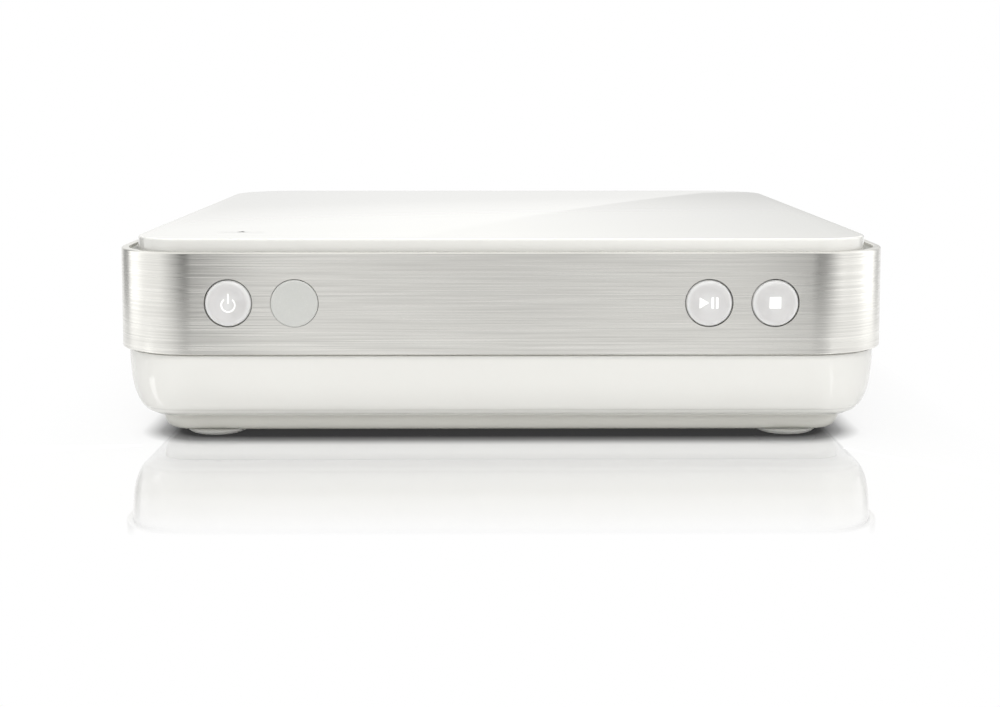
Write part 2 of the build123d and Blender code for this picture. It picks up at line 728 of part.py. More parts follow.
def scart_socket():
    """Wide socket: a block with a groove, one corner cut, and a field of contact slots."""
    half, tall = 21.6, 4.6
    groove = 1.6
    plane = Plane(origin=(SCART_X, 102, NICHE_Z), x_dir=(1, 0, 0), z_dir=(0, 1, 0))
    island = make_face(
        Polyline(
            (-half + groove, -tall + groove),
            (half - groove, -tall + groove),
            (half - groove, tall - groove - 2.5),
            (half - groove - 2.5, tall - groove),
            (-half + groove, tall - groove),
            close=True,
        )
    )
    body = extrude(plane * Rectangle(46.8, 12.2), PANEL_FACE + 2.2 - 102)
    body -= extrude(plane.offset(5) * (offset(island, groove, kind=Kind.INTERSECTION) - island), 20)
    slots = [box(SCART_X + x, SCART_X + x + 1.0, 112, 120, NICHE_Z + z, NICHE_Z + z + 1.6)
             for x in range(-17, 18, 4) for z in (-2.3, 0.6)]
    return body - slots


def jack_sleeve(x):
    """Plated sleeve of one round socket."""
    shape = [(3.1, 106), (4.15, 106), (4.15, 122.6), (3.9, 123.0), (3.1, 123.0)]
    return turned_front(shape, x, NICHE_Z)


def jack_insert(x):
    """Coloured collar and core of one round socket."""
    shape = [
        (1.7, 108),
        (1.7, 121.6),
        (3.1, 121.6),
        (3.1, 106),
        (0, 106),
        (0, 108),
    ]
    collar = [(4.15, 110.2), (5.1, 110.2), (5.1, PANEL_FACE + 1.6), (4.15, PANEL_FACE + 1.6)]
    cup = [(4.15, 106), (5.1, 106), (5.1, 111), (4.15, 111)]
    floor = [(0, 104.6), (5.1, 104.6), (5.1, 106), (0, 106)]
    parts = [turned_front(points, x, NICHE_Z) for points in (shape, collar, cup, floor)]
    body = parts[0]
    for piece in parts[1:]:
        body += piece
    return body


def mains_inlet():
    """Two-pin inlet with a figure-of-eight well."""
    body = box(INLET_X - 9.9, INLET_X + 9.9, 98, PANEL_FACE + 1.8, NICHE_Z - 5.1, NICHE_Z + 5.1)
    for offset_x in (-3.6, 3.6):
        body -= along_y(INLET_X + offset_x, NICHE_Z, 102, 120, 3.9)
    for offset_x in (-4.3, 4.3):
        body += along_y(INLET_X + offset_x, NICHE_Z, 101, 112.5, 1.15)
    return body


# ------------------------------------------------------------------ write
save("band", band())
save("band_carrier", band_carrier())
save("lower_shell", lower_shell())
save("base_pan", base_pan())
save("feet", feet())
save("case_screws", case_screws())
save("lid_cover", lid_cover())
save("lid_liner", lid_liner())
save("switch_flag", switch_flag())
save("disc_retainer", disc_retainer())
save("striker_plate", striker_plate())
save("disc_deck", disc_deck())
save("disc_tray", disc_tray())
save("deck_screws", deck_screws())
save("hinge_pins", hinge_pins())
save("lid_bumpers", lid_bumpers())
save("catch_housing", catch_housing())
save("catch_plunger", catch_plunger())
save("lid_switch", lid_switch())
for name, place in (("power_button", POWER_X), ("play_button", PLAY_X), ("stop_button", STOP_X)):
    save(name, button(place))
save("ir_window", ir_window())
save("front_board", front_board())
save("tact_switches", group(tact_switch(x) for x in (POWER_X, PLAY_X, STOP_X)))
save("indicator_lamps", group(lamp(x) for x in (POWER_X, PLAY_X, STOP_X)))
save("ir_receiver", ir_receiver())
save("mech_chassis", mech_chassis())
save("mech_grommets", mech_grommets())
save("mech_screws", mech_screws())
save("spindle_motor", spindle_motor())
save("turntable", turntable())
save("platter_ring", platter_ring())
save("guide_rods", guide_rods())
save("pickup_sled", pickup_sled())
save("lens_holder", lens_holder())
save("lens", lens())
save("sled_motor", sled_motor())
save("lead_screw", lead_screw())
save("screw_bracket", screw_bracket())
save("main_board", board(MAIN_X, MAIN_POSTS, 4.0))
save("main_chips", main_chips())
save("power_board", board(POWER_BOARD_X, POWER_POSTS, 4.0))
save("transformer", transformer())
save("capacitors", capacitors())
save("rear_panel", rear_panel())
save("scart_socket", scart_socket())
save("jack_sleeves", group(jack_sleeve(x) for x in JACK_XS))
for name, place in zip(("video_jack", "left_jack", "right_jack", "coaxial_jack"), JACK_XS):
    save(name, jack_insert(place))
save("mains_inlet", mains_inlet())
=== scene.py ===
import json
import math

import bmesh
import bpy
from mathutils import Euler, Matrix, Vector


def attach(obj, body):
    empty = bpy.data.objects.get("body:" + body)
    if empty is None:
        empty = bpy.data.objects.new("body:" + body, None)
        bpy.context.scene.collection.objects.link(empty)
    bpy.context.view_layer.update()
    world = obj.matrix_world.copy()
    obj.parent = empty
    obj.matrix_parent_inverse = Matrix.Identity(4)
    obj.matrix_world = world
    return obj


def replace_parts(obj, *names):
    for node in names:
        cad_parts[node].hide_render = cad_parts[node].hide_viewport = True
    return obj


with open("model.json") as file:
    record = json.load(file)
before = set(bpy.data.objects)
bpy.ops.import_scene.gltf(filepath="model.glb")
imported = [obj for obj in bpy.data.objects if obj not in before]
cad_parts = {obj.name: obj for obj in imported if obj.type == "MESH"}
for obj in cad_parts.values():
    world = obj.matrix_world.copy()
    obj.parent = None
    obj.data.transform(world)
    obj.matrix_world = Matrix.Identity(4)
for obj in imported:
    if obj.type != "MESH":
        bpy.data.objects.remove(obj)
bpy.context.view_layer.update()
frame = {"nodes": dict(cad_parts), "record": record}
nodes = frame["nodes"]
mm = 0.001


# meshes: loops of rounded rectangles, turned profiles, solid cutters
def roundedLoop(halfX, front, back, frontRadius, backRadius, steps=24):
    # counter-clockwise from the middle of the back, so that a seam lies at the back
    points = [(0.0, back)]
    centres = (
        (-halfX + backRadius, back - backRadius, 90, backRadius),
        (-halfX + frontRadius, front + frontRadius, 180, frontRadius),
        (halfX - frontRadius, front + frontRadius, 270, frontRadius),
        (halfX - backRadius, back - backRadius, 0, backRadius),
    )
    for x, y, start, radius in centres:
        for step in range(steps + 1):
            angle = math.radians(start + 90 * step / steps)
            points.append((x + radius * math.cos(angle), y + radius * math.sin(angle)))
    return points


def squareLoop(half, radius, steps=24):
    return roundedLoop(half, -half, half, radius, radius, steps)


def arc(centre, radius, start, end, steps):
    # points along an arc, from and to in degrees, as (across, up)
    turn = [math.radians(start + (end - start) * i / steps) for i in range(steps + 1)]
    return [(centre[0] + radius * math.cos(a), centre[1] + radius * math.sin(a)) for a in turn]


def smoothRow(rows, count):
    # a smooth curve through rows of numbers, as an even row of the first column
    def slope(i, k):
        a, b = max(i - 1, 0), min(i + 1, len(rows) - 1)
        return (rows[b][k] - rows[a][k]) / (rows[b][0] - rows[a][0])

    first, last = rows[0][0], rows[-1][0]
    out = []
    for n in range(count + 1):
        x = first + (last - first) * n / count
        i = 0
        while i < len(rows) - 2 and (x - rows[i + 1][0]) * (last - first) > 0:
            i += 1
        span = rows[i + 1][0] - rows[i][0]
        t = (x - rows[i][0]) / span
        value = [x]
        for k in range(1, len(rows[0])):
            p, q = rows[i][k], rows[i + 1][k]
            m, o = slope(i, k) * span, slope(i + 1, k) * span
            value.append((2 * t**3 - 3 * t**2 + 1) * p + (t**3 - 2 * t**2 + t) * m
                         + (3 * t**2 - 2 * t**3) * q + (t**3 - t**2) * o)
        out.append(tuple(value))
    return out


def addObject(name, data):
    piece = bpy.data.objects.new(name, data)
    bpy.context.collection.objects.link(piece)
    return piece


def newPiece(name, verts, faces, material, sharp=30):
    mesh = bpy.data.meshes.new(name)
    mesh.from_pydata([Vector(v) * mm for v in verts], [], faces)
    piece = addObject(name, mesh)
    work = bmesh.new()
    work.from_mesh(mesh)
    bmesh.ops.recalc_face_normals(work, faces=work.faces)
    work.to_mesh(mesh)
    work.free()
    mesh.materials.append(material)
    shade(piece, sharp)
    return piece


def shade(piece, sharp=30):
    piece.data.polygons.foreach_set("use_smooth", [True] * len(piece.data.polygons))
    piece.data.set_sharp_from_angle(angle=math.radians(sharp))


def stackLoops(name, loops, material, closed=False, sharp=30):
    # loops are (points, height), each joined to the next; a closed stack is a ring and has no ends
    count = len(loops[0][0])
    verts = [(x, y, z) for points, z in loops for x, y in points]
    faces = []
    rows = len(loops) if closed else len(loops) - 1
    for row in range(rows):
        a, b = row * count, (row + 1) % len(loops) * count
        for i in range(count):
            j = (i + 1) % count
            faces.append((a + i, a + j, b + j, b + i))
    if not closed:
        faces.append(tuple(reversed(range(count))))
        faces.append(tuple(range((len(loops) - 1) * count, len(loops) * count)))
    return newPiece(name, verts, faces, material, sharp)


def turned(name, profile, material, centre=(0, 0, 0), axis="Z", steps=96, sharp=30):
    # profile is (radius, along) from the axis back to the axis
    verts, faces, rings = [], [], []
    for radius, along in profile:
        if radius < 1e-6:
            rings.append([len(verts)])
            verts.append((0, 0, along))
            continue
        ring = []
        for step in range(steps):
            angle = 2 * math.pi * step / steps
            ring.append(len(verts))
            verts.append((radius * math.cos(angle), radius * math.sin(angle), along))
        rings.append(ring)
    for a, b in zip(rings, rings[1:]):
        for i in range(steps):
            j = (i + 1) % steps
            if len(a) == 1 and len(b) == 1:
                continue
            if len(a) == 1:
                faces.append((a[0], b[j], b[i]))
            elif len(b) == 1:
                faces.append((a[i], a[j], b[0]))
            else:
                faces.append((a[i], a[j], b[j], b[i]))
    if axis == "Y":
        verts = [(x, z, y) for x, y, z in verts]
    cx, cy, cz = centre
    verts = [(x + cx, y + cy, z + cz) for x, y, z in verts]
    return newPiece(name, verts, faces, material, sharp)


def boxVerts(x0, x1, y0, y1, z0, z1):
    verts = [(x, y, z) for x in (x0, x1) for y in (y0, y1) for z in (z0, z1)]
    return verts, [(0, 1, 3, 2), (4, 6, 7, 5), (0, 4, 5, 1), (2, 3, 7, 6), (0, 2, 6, 4), (1, 5, 7, 3)]


def joined(name, parts, material, sharp=30):
    # one mesh from several pieces, which are used up
    work = bmesh.new()
    for part in parts:
        work.from_mesh(part.data)
        bpy.data.objects.remove(part)
    mesh = bpy.data.meshes.new(name)
    work.to_mesh(mesh)
    work.free()
    piece = addObject(name, mesh)
    mesh.materials.append(material)
    shade(piece, sharp)
    return piece


def bake(piece):
    # turns live modifiers into a plain mesh
    graph = bpy.context.evaluated_depsgraph_get()
    graph.update()
    result = bpy.data.meshes.new_from_object(
        piece.evaluated_get(graph), preserve_all_data_layers=True, depsgraph=graph)
    old = piece.data
    piece.modifiers.clear()
    piece.data = result
    bpy.data.meshes.remove(old)


def carve(piece, cutters, sharp=30):
    # takes the cutters out of the piece, then deletes them
    for cutter in cutters:
        cut = piece.modifiers.new("cut", "BOOLEAN")
        cut.operation = "DIFFERENCE"
        cut.solver = "EXACT"
        cut.object = cutter
    bake(piece)
    for cutter in cutters:
        bpy.data.objects.remove(cutter)
    shade(piece, sharp)


skinning = {"merge": 2e-6, "flat": 0.4, "edgeAngle": 40, "segments": 2, "sharp": 28}


def smoothCopy(node, material, body, bevel, s=skinning):
    # a merged, smooth-shaded copy of a CAD node that stands in for it
    piece = addObject(node + "Skin", nodes[node].data.copy())
    work = bmesh.new()
    work.from_mesh(piece.data)
    bmesh.ops.remove_doubles(work, verts=work.verts, dist=s["merge"])
    bmesh.ops.dissolve_limit(work, angle_limit=math.radians(s["flat"]), verts=work.verts, edges=work.edges)
    work.to_mesh(piece.data)
    work.free()
    if piece.data.has_custom_normals:
        with bpy.context.temp_override(object=piece, active_object=piece):
            bpy.ops.mesh.customdata_custom_splitnormals_clear()
    if bevel:
        edge = piece.modifiers.new("edge", "BEVEL")
        edge.width = bevel * mm
        edge.segments = s["segments"]
        edge.limit_method = "ANGLE"
        edge.angle_limit = math.radians(s["edgeAngle"])
        edge.harden_normals = False
        bake(piece)
    piece.data.materials.clear()
    piece.data.materials.append(material)
    shade(piece, s["sharp"])
    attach(piece, body)
    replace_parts(piece, node)
    return piece


# materials: every surface has its own grain, drift of colour and bump
def startMaterial(name, plain=False):
    # the shader to fill in, or with plain an empty tree
    material = bpy.data.materials.new(name)
    material.use_nodes = True
    tree = material.node_tree
    if plain:
        tree.nodes.clear()
        return material, tree
    return material, tree, tree.nodes["Principled BSDF"]


def feed(tree, node, inputs):
    # links what is a socket and sets what is a value
    for key, value in inputs.items():
        if isinstance(value, bpy.types.NodeSocket):
            tree.links.new(value, node.inputs[key])
        else:
            node.inputs[key].default_value = value


def addNode(tree, kind, inputs=None, **values):
    # shader nodes go by their short names
    node = tree.nodes.new(kind if kind.startswith("Geometry") else "ShaderNode" + kind)
    for key, value in values.items():
        setattr(node, key, value)
    feed(tree, node, inputs or {})
    return node


def calc(tree, operation, a, b=0.0, clamp=False):
    return addNode(tree, "Math", {0: a, 1: b}, operation=operation, use_clamp=clamp).outputs[0]


def ranged(tree, value, span, to=(0.0, 1.0), **values):
    inputs = {"Value": value, "From Min": span[0], "From Max": span[1], "To Min": to[0], "To Max": to[1]}
    return addNode(tree, "MapRange", inputs, **values).outputs[0]


def blended(tree, share, low, high):
    return addNode(tree, "Mix", {0: share, 6: low, 7: high}, data_type="RGBA").outputs[2]


def between(tree, share, low, high):
    return addNode(tree, "Mix", {0: share, 2: low, 3: high}, data_type="FLOAT").outputs[0]


def noise(tree, place, scale, detail=2.0, roughness=0.5, **values):
    inputs = {"Vector": place, "Scale": scale, "Detail": detail, "Roughness": roughness}
    return addNode(tree, "TexNoise", inputs, **values).outputs["Fac"]


def toned(tree, share, points, top=1.0):
    # a value off straight runs through the points, whose first and last stand at 0 and 1
    node = addNode(tree, "FloatCurve", {"Value": share})
    curve = node.mapping.curves[0]
    places = [(x, value / top) for x, value in points]
    curve.points[0].location = places[0]
    curve.points[-1].location = places[-1]
    for x, value in places[1:-1]:
        curve.points.new(x, value)
    for point in curve.points:
        point.handle_type = "VECTOR"
    node.mapping.update()
    return calc(tree, "MULTIPLY", node.outputs[0], top)


def objectPlace(tree):
    return addNode(tree, "TexCoord").outputs["Object"]


def rgb(colour):
    return (*colour, 1.0)


finishBase = {"drift": 0.03, "driftScale": 40.0, "grainScale": 1800.0, "grainSpan": (0.3, 0.7), "roughSpread": 0.08,
              "roughLeast": 0.02, "bump": 0.15, "bumpDepth": 0.00003, "metal": 0.0, "ior": 1.5, "coat": 0.0,
              "coatRough": 0.05, "clear": 0.0, "milky": 0.0, "milkyReach": (0.002, 0.002, 0.0018)}


def finish(name, own):
    # a moulded, cast or sheet surface on Object coordinates
    s = {**finishBase, **own}
    material, tree, shader = startMaterial(name)
    place = objectPlace(tree)
    if "stretch" in s:
        place = addNode(tree, "Mapping", {"Vector": place, "Scale": s["stretch"]}).outputs[0]
    cloud = noise(tree, place, s["driftScale"], 3.0)
    grain = noise(tree, place, s["grainScale"], 4.0, 0.6)
    low = [c * (1 - s["drift"]) for c in s["colour"]]
    high = [min(c * (1 + s["drift"]), 1.0) for c in s["colour"]]
    colour = blended(tree, cloud, rgb(low), rgb(high))
    # painted shade: where the shade attribute reaches 1 the colour is darkened by this factor
    if "paintedSideShade" in s:
        side = addNode(tree, "Attribute", attribute_name="shade").outputs["Fac"]
        colour = blended(tree, side, colour, rgb([c * s["paintedSideShade"] for c in s["colour"]]))
    smoothest = max(s["rough"] - s["roughSpread"], s["roughLeast"])
    bump = addNode(tree, "Bump", {"Height": grain, "Strength": s["bump"], "Distance": s["bumpDepth"]})
    feed(tree, shader, {
        "Base Color": colour, "Normal": bump.outputs[0], "Metallic": s["metal"], "IOR": s["ior"],
        "Roughness": ranged(tree, grain, s["grainSpan"], (smoothest, s["rough"] + s["roughSpread"])),
        "Coat Weight": s["coat"], "Coat Roughness": s["coatRough"], "Transmission Weight": s["clear"],
        "Subsurface Weight": s["milky"], "Subsurface Radius": s["milkyReach"], "Subsurface Scale": 1.0})
    return material


glossWhite = dict(colour=(0.90, 0.893, 0.852), drift=0.006, driftScale=14.0, rough=0.025, roughSpread=0.005,
                  grainScale=260.0, bump=0.006, bumpDepth=0.00001, coat=0.35, coatRough=0.012)
finishes = {
    "lid_gloss": dict(glossWhite, paintedSideShade=0.9),
    "shell_gloss": dict(glossWhite, driftScale=12.0),
    "pan_plastic": dict(glossWhite, colour=(0.74, 0.732, 0.68), rough=0.14),
    "window_plastic": dict(colour=(0.64, 0.645, 0.615), drift=0.02, driftScale=90.0, rough=0.24, milky=0.1,
                           grainScale=2600.0, bump=0.04),
    "frame_plastic": dict(colour=(0.80, 0.80, 0.78), rough=0.5, grainScale=2200.0, bump=0.2),
    "deck_plastic": dict(colour=(0.86, 0.86, 0.84), drift=0.012, rough=0.34, grainScale=2400.0, bump=0.12),
    "panel_plastic": dict(colour=(0.045, 0.046, 0.05), drift=0.1, rough=0.55, grainScale=2000.0, bump=0.4),
    "catch_plastic": dict(colour=(0.74, 0.74, 0.72), rough=0.35),
    "black_plastic": dict(colour=(0.02, 0.02, 0.022), drift=0.1, rough=0.42, grainScale=2400.0, bump=0.3),
    "chip_plastic": dict(colour=(0.03, 0.03, 0.033), drift=0.08, rough=0.5, grainScale=5200.0, bump=0.3),
    "sled_plastic": dict(colour=(0.035, 0.035, 0.04), drift=0.15, rough=0.5, grainScale=1500.0, bump=0.35),
    "lamp_resin": dict(colour=(0.9, 0.92, 0.95), rough=0.08, clear=0.7, bump=0.02),
    "dark_resin": dict(colour=(0.02, 0.012, 0.02), rough=0.1, coat=0.5, bump=0.02),
    "foot_rubber": dict(colour=(0.56, 0.56, 0.535), drift=0.03, rough=0.46, grainScale=1500.0, bump=0.2),
    "bumper_rubber": dict(colour=(0.62, 0.62, 0.60), rough=0.4, milky=0.3),
    "grommet_rubber": dict(colour=(0.025, 0.025, 0.025), drift=0.15, rough=0.7, grainScale=2600.0, bump=0.4),
    "steel": dict(colour=(0.56, 0.56, 0.57), metal=1.0, rough=0.32, drift=0.05, driftScale=300.0),
    "chassis_steel": dict(colour=(0.58, 0.59, 0.60), metal=1.0, rough=0.36, drift=0.07, driftScale=150.0,
                          stretch=(1.0, 0.15, 1.0), bump=0.1),
    "polished_steel": dict(colour=(0.74, 0.74, 0.75), metal=1.0, rough=0.12, roughSpread=0.04,
                           stretch=(1.0, 0.05, 1.0), bump=0.03),
    "motor_can": dict(colour=(0.60, 0.60, 0.61), metal=1.0, rough=0.28, drift=0.04),
    "jack_plating": dict(colour=(0.76, 0.74, 0.69), metal=1.0, rough=0.18, roughSpread=0.06, bump=0.04),
    "lens_glass": dict(colour=(0.55, 0.62, 0.95), rough=0.03, roughSpread=0.01, clear=0.6, coat=1.0, bump=0.0),
    "ferrite": dict(colour=(0.06, 0.06, 0.068), drift=0.2, rough=0.6, grainScale=900.0, bump=0.5),
    "power_board_resin": dict(colour=(0.42, 0.27, 0.11), drift=0.1, rough=0.5, stretch=(1.0, 0.2, 1.0)),
    "yellow_plastic": dict(colour=(0.85, 0.62, 0.03), rough=0.3),
    "white_plastic": dict(colour=(0.85, 0.85, 0.83), rough=0.3),
    "red_plastic": dict(colour=(0.62, 0.03, 0.03), rough=0.3),
    "orange_plastic": dict(colour=(0.85, 0.26, 0.03), rough=0.3),
    "capacitor_sleeve": dict(colour=(0.03, 0.035, 0.07), drift=0.1, rough=0.22, coat=0.4),
}

brushed = {"colour": (0.80, 0.79, 0.75), "streakDepth": 0.11, "rough": 0.30, "roughSpread": 0.05, "anisotropy": 0.72,
           "turn": 0.25, "longScale": 9.0, "fineScale": 2600.0, "sway": 0.035, "swaySpan": (0.25, 0.75),
           "bump": 0.12, "bumpDepth": 0.00002, "levelSpan": (1.1, 1.9),
           "streaks": ((1.0, 1.0, 2.0), (2.6, 0.5, 2.0), (1.6, 2.0, 1.0))}


def brushedMetal(name, s):
    # streaks run along the band: U is the way round it and V its height, both in metres
    material, tree, shader = startMaterial(name)
    uv = addNode(tree, "UVMap", uv_map="around").outputs[0]
    tangent = addNode(tree, "Tangent", direction_type="UV_MAP", uv_map="around").outputs[0]
    streaks = []
    for long, fine, detail in s["streaks"]:
        scale = (s["longScale"] * long, s["fineScale"] * fine, 1.0)
        scaled = addNode(tree, "Mapping", {"Vector": uv, "Scale": scale}).outputs[0]
        streaks.append(noise(tree, scaled, 1.0, detail, 0.55, noise_dimensions="2D"))
    total = calc(tree, "ADD", calc(tree, "ADD", streaks[0], streaks[1]), streaks[2])
    level = ranged(tree, total, s["levelSpan"])
    low = [c * (1 - s["streakDepth"]) for c in s["colour"]]
    high = [c * (1 + s["streakDepth"] * 0.8) for c in s["colour"]]
    # each streak leans a little sideways, which frays the edges of what the metal mirrors
    lean = ranged(tree, streaks[2], s["swaySpan"], (-s["sway"], s["sway"]), clamp=False)
    push = addNode(tree, "VectorMath", {0: tangent, 3: lean}, operation="SCALE").outputs[0]
    normal = addNode(tree, "NewGeometry").outputs["Normal"]
    leaning = addNode(tree, "VectorMath", {0: normal, 1: push}, operation="ADD").outputs[0]
    unit = addNode(tree, "VectorMath", {0: leaning}, operation="NORMALIZE").outputs[0]
    bump = addNode(tree, "Bump", {"Height": level, "Strength": s["bump"], "Distance": s["bumpDepth"], "Normal": unit})
    feed(tree, shader, {
        "Base Color": blended(tree, level, rgb(low), rgb(high)),
        "Roughness": ranged(tree, level, (0.0, 1.0), (s["rough"] + s["roughSpread"], s["rough"] - s["roughSpread"])),
        "Normal": bump.outputs[0],
        "Tangent": tangent,
        "Metallic": 1.0,
        "Anisotropic": s["anisotropy"],
        "Anisotropic Rotation": s["turn"],
    })
    return material


# glow and rim are lighter colours: a painted glow round the sign and a painted highlight at the rim
keyCap = {"face": (0.71, 0.70, 0.69), "glow": (0.80, 0.80, 0.79), "rim": (0.84, 0.84, 0.83), "rough": 0.16,
          "faceSpan": (0.62, 0.80), "grainScale": 600.0, "waver": 0.06, "coatRough": 0.02, "milky": 0.15}


def keyMaterial(name, s):
    # milky cap under clear lacquer, with a painted glow round the lit sign and a painted highlight at the rolled rim
    material, tree, shader = startMaterial(name)
    radial = addNode(tree, "Attribute", attribute_name="radial").outputs["Fac"]
    wave = calc(tree, "MULTIPLY", noise(tree, objectPlace(tree), s["grainScale"], 3.0), s["waver"])
    ramp = addNode(tree, "ValToRGB", {"Fac": calc(tree, "ADD", radial, wave)})
    ramp.color_ramp.interpolation = "EASE"
    stops = ramp.color_ramp.elements
    # painted glow at the centre, painted highlight at the rim, plain face between
    stops[0].color = rgb(s["glow"])
    stops[1].color = rgb(s["rim"])
    for position in s["faceSpan"]:
        stops.new(position).color = rgb(s["face"])
    feed(tree, shader, {"Base Color": ramp.outputs[0], "Roughness": s["rough"], "Coat Weight": 1.0,
                        "Coat Roughness": s["coatRough"], "Subsurface Weight": s["milky"],
                        "Subsurface Radius": (0.0012, 0.0012, 0.0011), "Subsurface Scale": 1.0})
    return material


signGlow = {"low": (0.97, 0.97, 0.96, 1), "high": (1, 1, 1, 1), "glow": 0.28, "rough": 0.3, "grainScale": 900.0}


def litSign(name, s):
    # white sign that the lamp behind it lights
    material, tree, shader = startMaterial(name)
    blend = blended(tree, noise(tree, objectPlace(tree), s["grainScale"]), s["low"], s["high"])
    feed(tree, shader, {"Base Color": blend, "Emission Color": blend, "Emission Strength": s["glow"],
                        "Roughness": s["rough"]})
    return material


boardGreen = {"cellScale": 420.0, "trackSpan": (0.42, 0.5), "padSpan": (0.10, 0.08), "rough": 0.28, "bump": 0.3,
              "bumpDepth": 0.00004, "mask": (0.012, 0.13, 0.045, 1), "track": (0.02, 0.20, 0.07, 1),
              "pad": (0.65, 0.65, 0.66, 1)}


def circuitBoard(name, s):
    # solder mask over a maze of tracks, with tinned pads
    material, tree, shader = startMaterial(name)
    cells = addNode(tree, "TexVoronoi", {"Vector": objectPlace(tree), "Scale": s["cellScale"]}, distance="MANHATTAN")
    tracks = ranged(tree, cells.outputs["Distance"], s["trackSpan"])
    pads = ranged(tree, cells.outputs["Distance"], s["padSpan"])
    tinned = blended(tree, pads, blended(tree, tracks, s["mask"], s["track"]), s["pad"])
    bump = addNode(tree, "Bump", {"Height": tracks, "Strength": s["bump"], "Distance": s["bumpDepth"]})
    feed(tree, shader, {"Base Color": tinned, "Metallic": pads, "Normal": bump.outputs[0], "Roughness": s["rough"]})
    return material


materials = {name: finish(name, settings) for name, settings in finishes.items()}
materials["brushed_aluminium"] = brushedMetal("brushed_aluminium", brushed)
materials["button_plastic"] = keyMaterial("button_plastic", keyCap)
materials["circuit_board"] = circuitBoard("circuit_board", boardGreen)
steel = materials["steel"]
signMaterial = litSign("litSign", signGlow)
markMaterial = finish("moulded_mark", {"colour": (0.72, 0.72, 0.70), "rough": 0.3, "bump": 0.05})

nodeSlots = {part["node"]: part["material_slot"] for part in frame["record"]["subparts"]}
for node, obj in nodes.items():
    obj.data.materials.clear()
    obj.data.materials.append(materials[nodeSlots[node]])
print("materials:", len(materials))


# the band: a strip rolled in over the frame, brushed along its length
band = {"half": 125.0, "corner": 27.2, "bottom": 29.2, "top": 61.6, "thick": 1.2, "lipWidth": 2.4, "lipThick": 1.2,
        "footWidth": 1.9, "footThick": 0.8, "controlXs": (-86.3, -65.4, 65.4, 86.3), "controlZ": 45.6,
        "holeRadius": 7.65, "holeY": (-128, -121), "nicheHalf": 88.0, "nicheZ": (31.4, 47.4), "nicheRadius": 2.4,
        "nicheY": (120, 128), "topEdge": 0.75, "lowEdge": 0.3, "lipEdge": 0.25}


def plate(x0, x1, z0, z1, radius, y0, y1, steps=10):
    # a rounded oblong that stands upright, as a cutter through the back
    points = []
    for x, z, start in ((x1 - radius, z1 - radius, 0), (x0 + radius, z1 - radius, 90),
                        (x0 + radius, z0 + radius, 180), (x1 - radius, z0 + radius, 270)):
        for step in range(steps + 1):
            angle = math.radians(start + 90 * step / steps)
            points.append((x + radius * math.cos(angle), z + radius * math.sin(angle)))
    count = len(points)
    verts = [(x, y, z) for y in (y0, y1) for x, z in points]
    faces = [(i, (i + 1) % count, count + (i + 1) % count, count + i) for i in range(count)]
    faces += [tuple(range(count)), tuple(reversed(range(count, 2 * count)))]
    return newPiece("cutter", verts, faces, steel)


def drum(centre, radius, start, end, axis="Z", steps=48):
    profile = [(0, start), (radius, start), (radius, end), (0, end)]
    return turned("cutter", profile, steel, centre, axis, steps)


def drums(places, radius, z0, z1):
    return joined("drums", [drum((x, y, 0), radius, z0, z1) for x, y in places], steel)


def makeBand(s):
    profile = arc((s["lowEdge"], s["bottom"] + s["lowEdge"]), s["lowEdge"], -90, -180, 6)
    profile += arc((s["topEdge"], s["top"] - s["topEdge"]), s["topEdge"], 180, 90, 10)
    profile += arc((s["lipWidth"] - s["lipEdge"], s["top"] - s["lipEdge"]), s["lipEdge"], 90, 0, 4)
    profile += [(s["lipWidth"], s["top"] - s["lipThick"]), (s["thick"], s["top"] - s["lipThick"]),
                (s["thick"], s["bottom"] + s["footThick"]), (s["footWidth"], s["bottom"] + s["footThick"]),
                (s["footWidth"], s["bottom"])]
    loops = [(squareLoop(s["half"] - inset, s["corner"] - inset, 32), z) for inset, z in profile]
    piece = stackLoops("bandStrip", loops, materials["brushed_aluminium"], closed=True)
    mesh = piece.data
    base = squareLoop(s["half"], s["corner"], 32)
    count = len(base)
    around, climb = [0.0], [0.0]
    for way, points in ((around, base), (climb, profile)):
        for a, b in zip(points, points[1:] + points[:1]):
            way.append(way[-1] + math.dist(a, b))
    layer = mesh.uv_layers.new(name="around")
    for face in mesh.polygons:
        rows = [mesh.loops[k].vertex_index // count for k in face.loop_indices]
        columns = [mesh.loops[k].vertex_index % count for k in face.loop_indices]
        for k, row, column in zip(face.loop_indices, rows, columns):
            wrapU = column == 0 and max(columns) == count - 1
            wrapV = row == 0 and max(rows) == len(profile) - 1
            u = around[count] if wrapU else around[column]
            v = climb[len(profile)] if wrapV else climb[row]
            layer.data[k].uv = (u * mm, v * mm)
    cutters = [drum((x, 0, s["controlZ"]), s["holeRadius"], *s["holeY"], "Y", 128) for x in s["controlXs"]]
    cutters.append(plate(-s["nicheHalf"], s["nicheHalf"], *s["nicheZ"], s["nicheRadius"], *s["nicheY"]))
    carve(piece, cutters)
    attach(piece, "case")
    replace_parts(piece, "band")


makeBand(band)
print("band done")


# the lid: a glossy plate with a turned-down edge, and a small opening mark
lid = {"halfWidth": 118.4, "front": -121.4, "back": 120.4, "frontRadius": 18.0, "backRadius": 24.0, "top": 65.7,
       "under": 63.7, "skirtBottom": 59.0, "skirt": 1.8, "edge": 0.8, "edgeInside": 0.25, "topShare": 0.4,
       "shadeFrom": -0.02, "shadeSpan": 0.07}


def lidLoop(inset, s=lid):
    return roundedLoop(s["halfWidth"] - inset, s["front"] + inset, s["back"] - inset,
                       s["frontRadius"] - inset, s["backRadius"] - inset, 32)


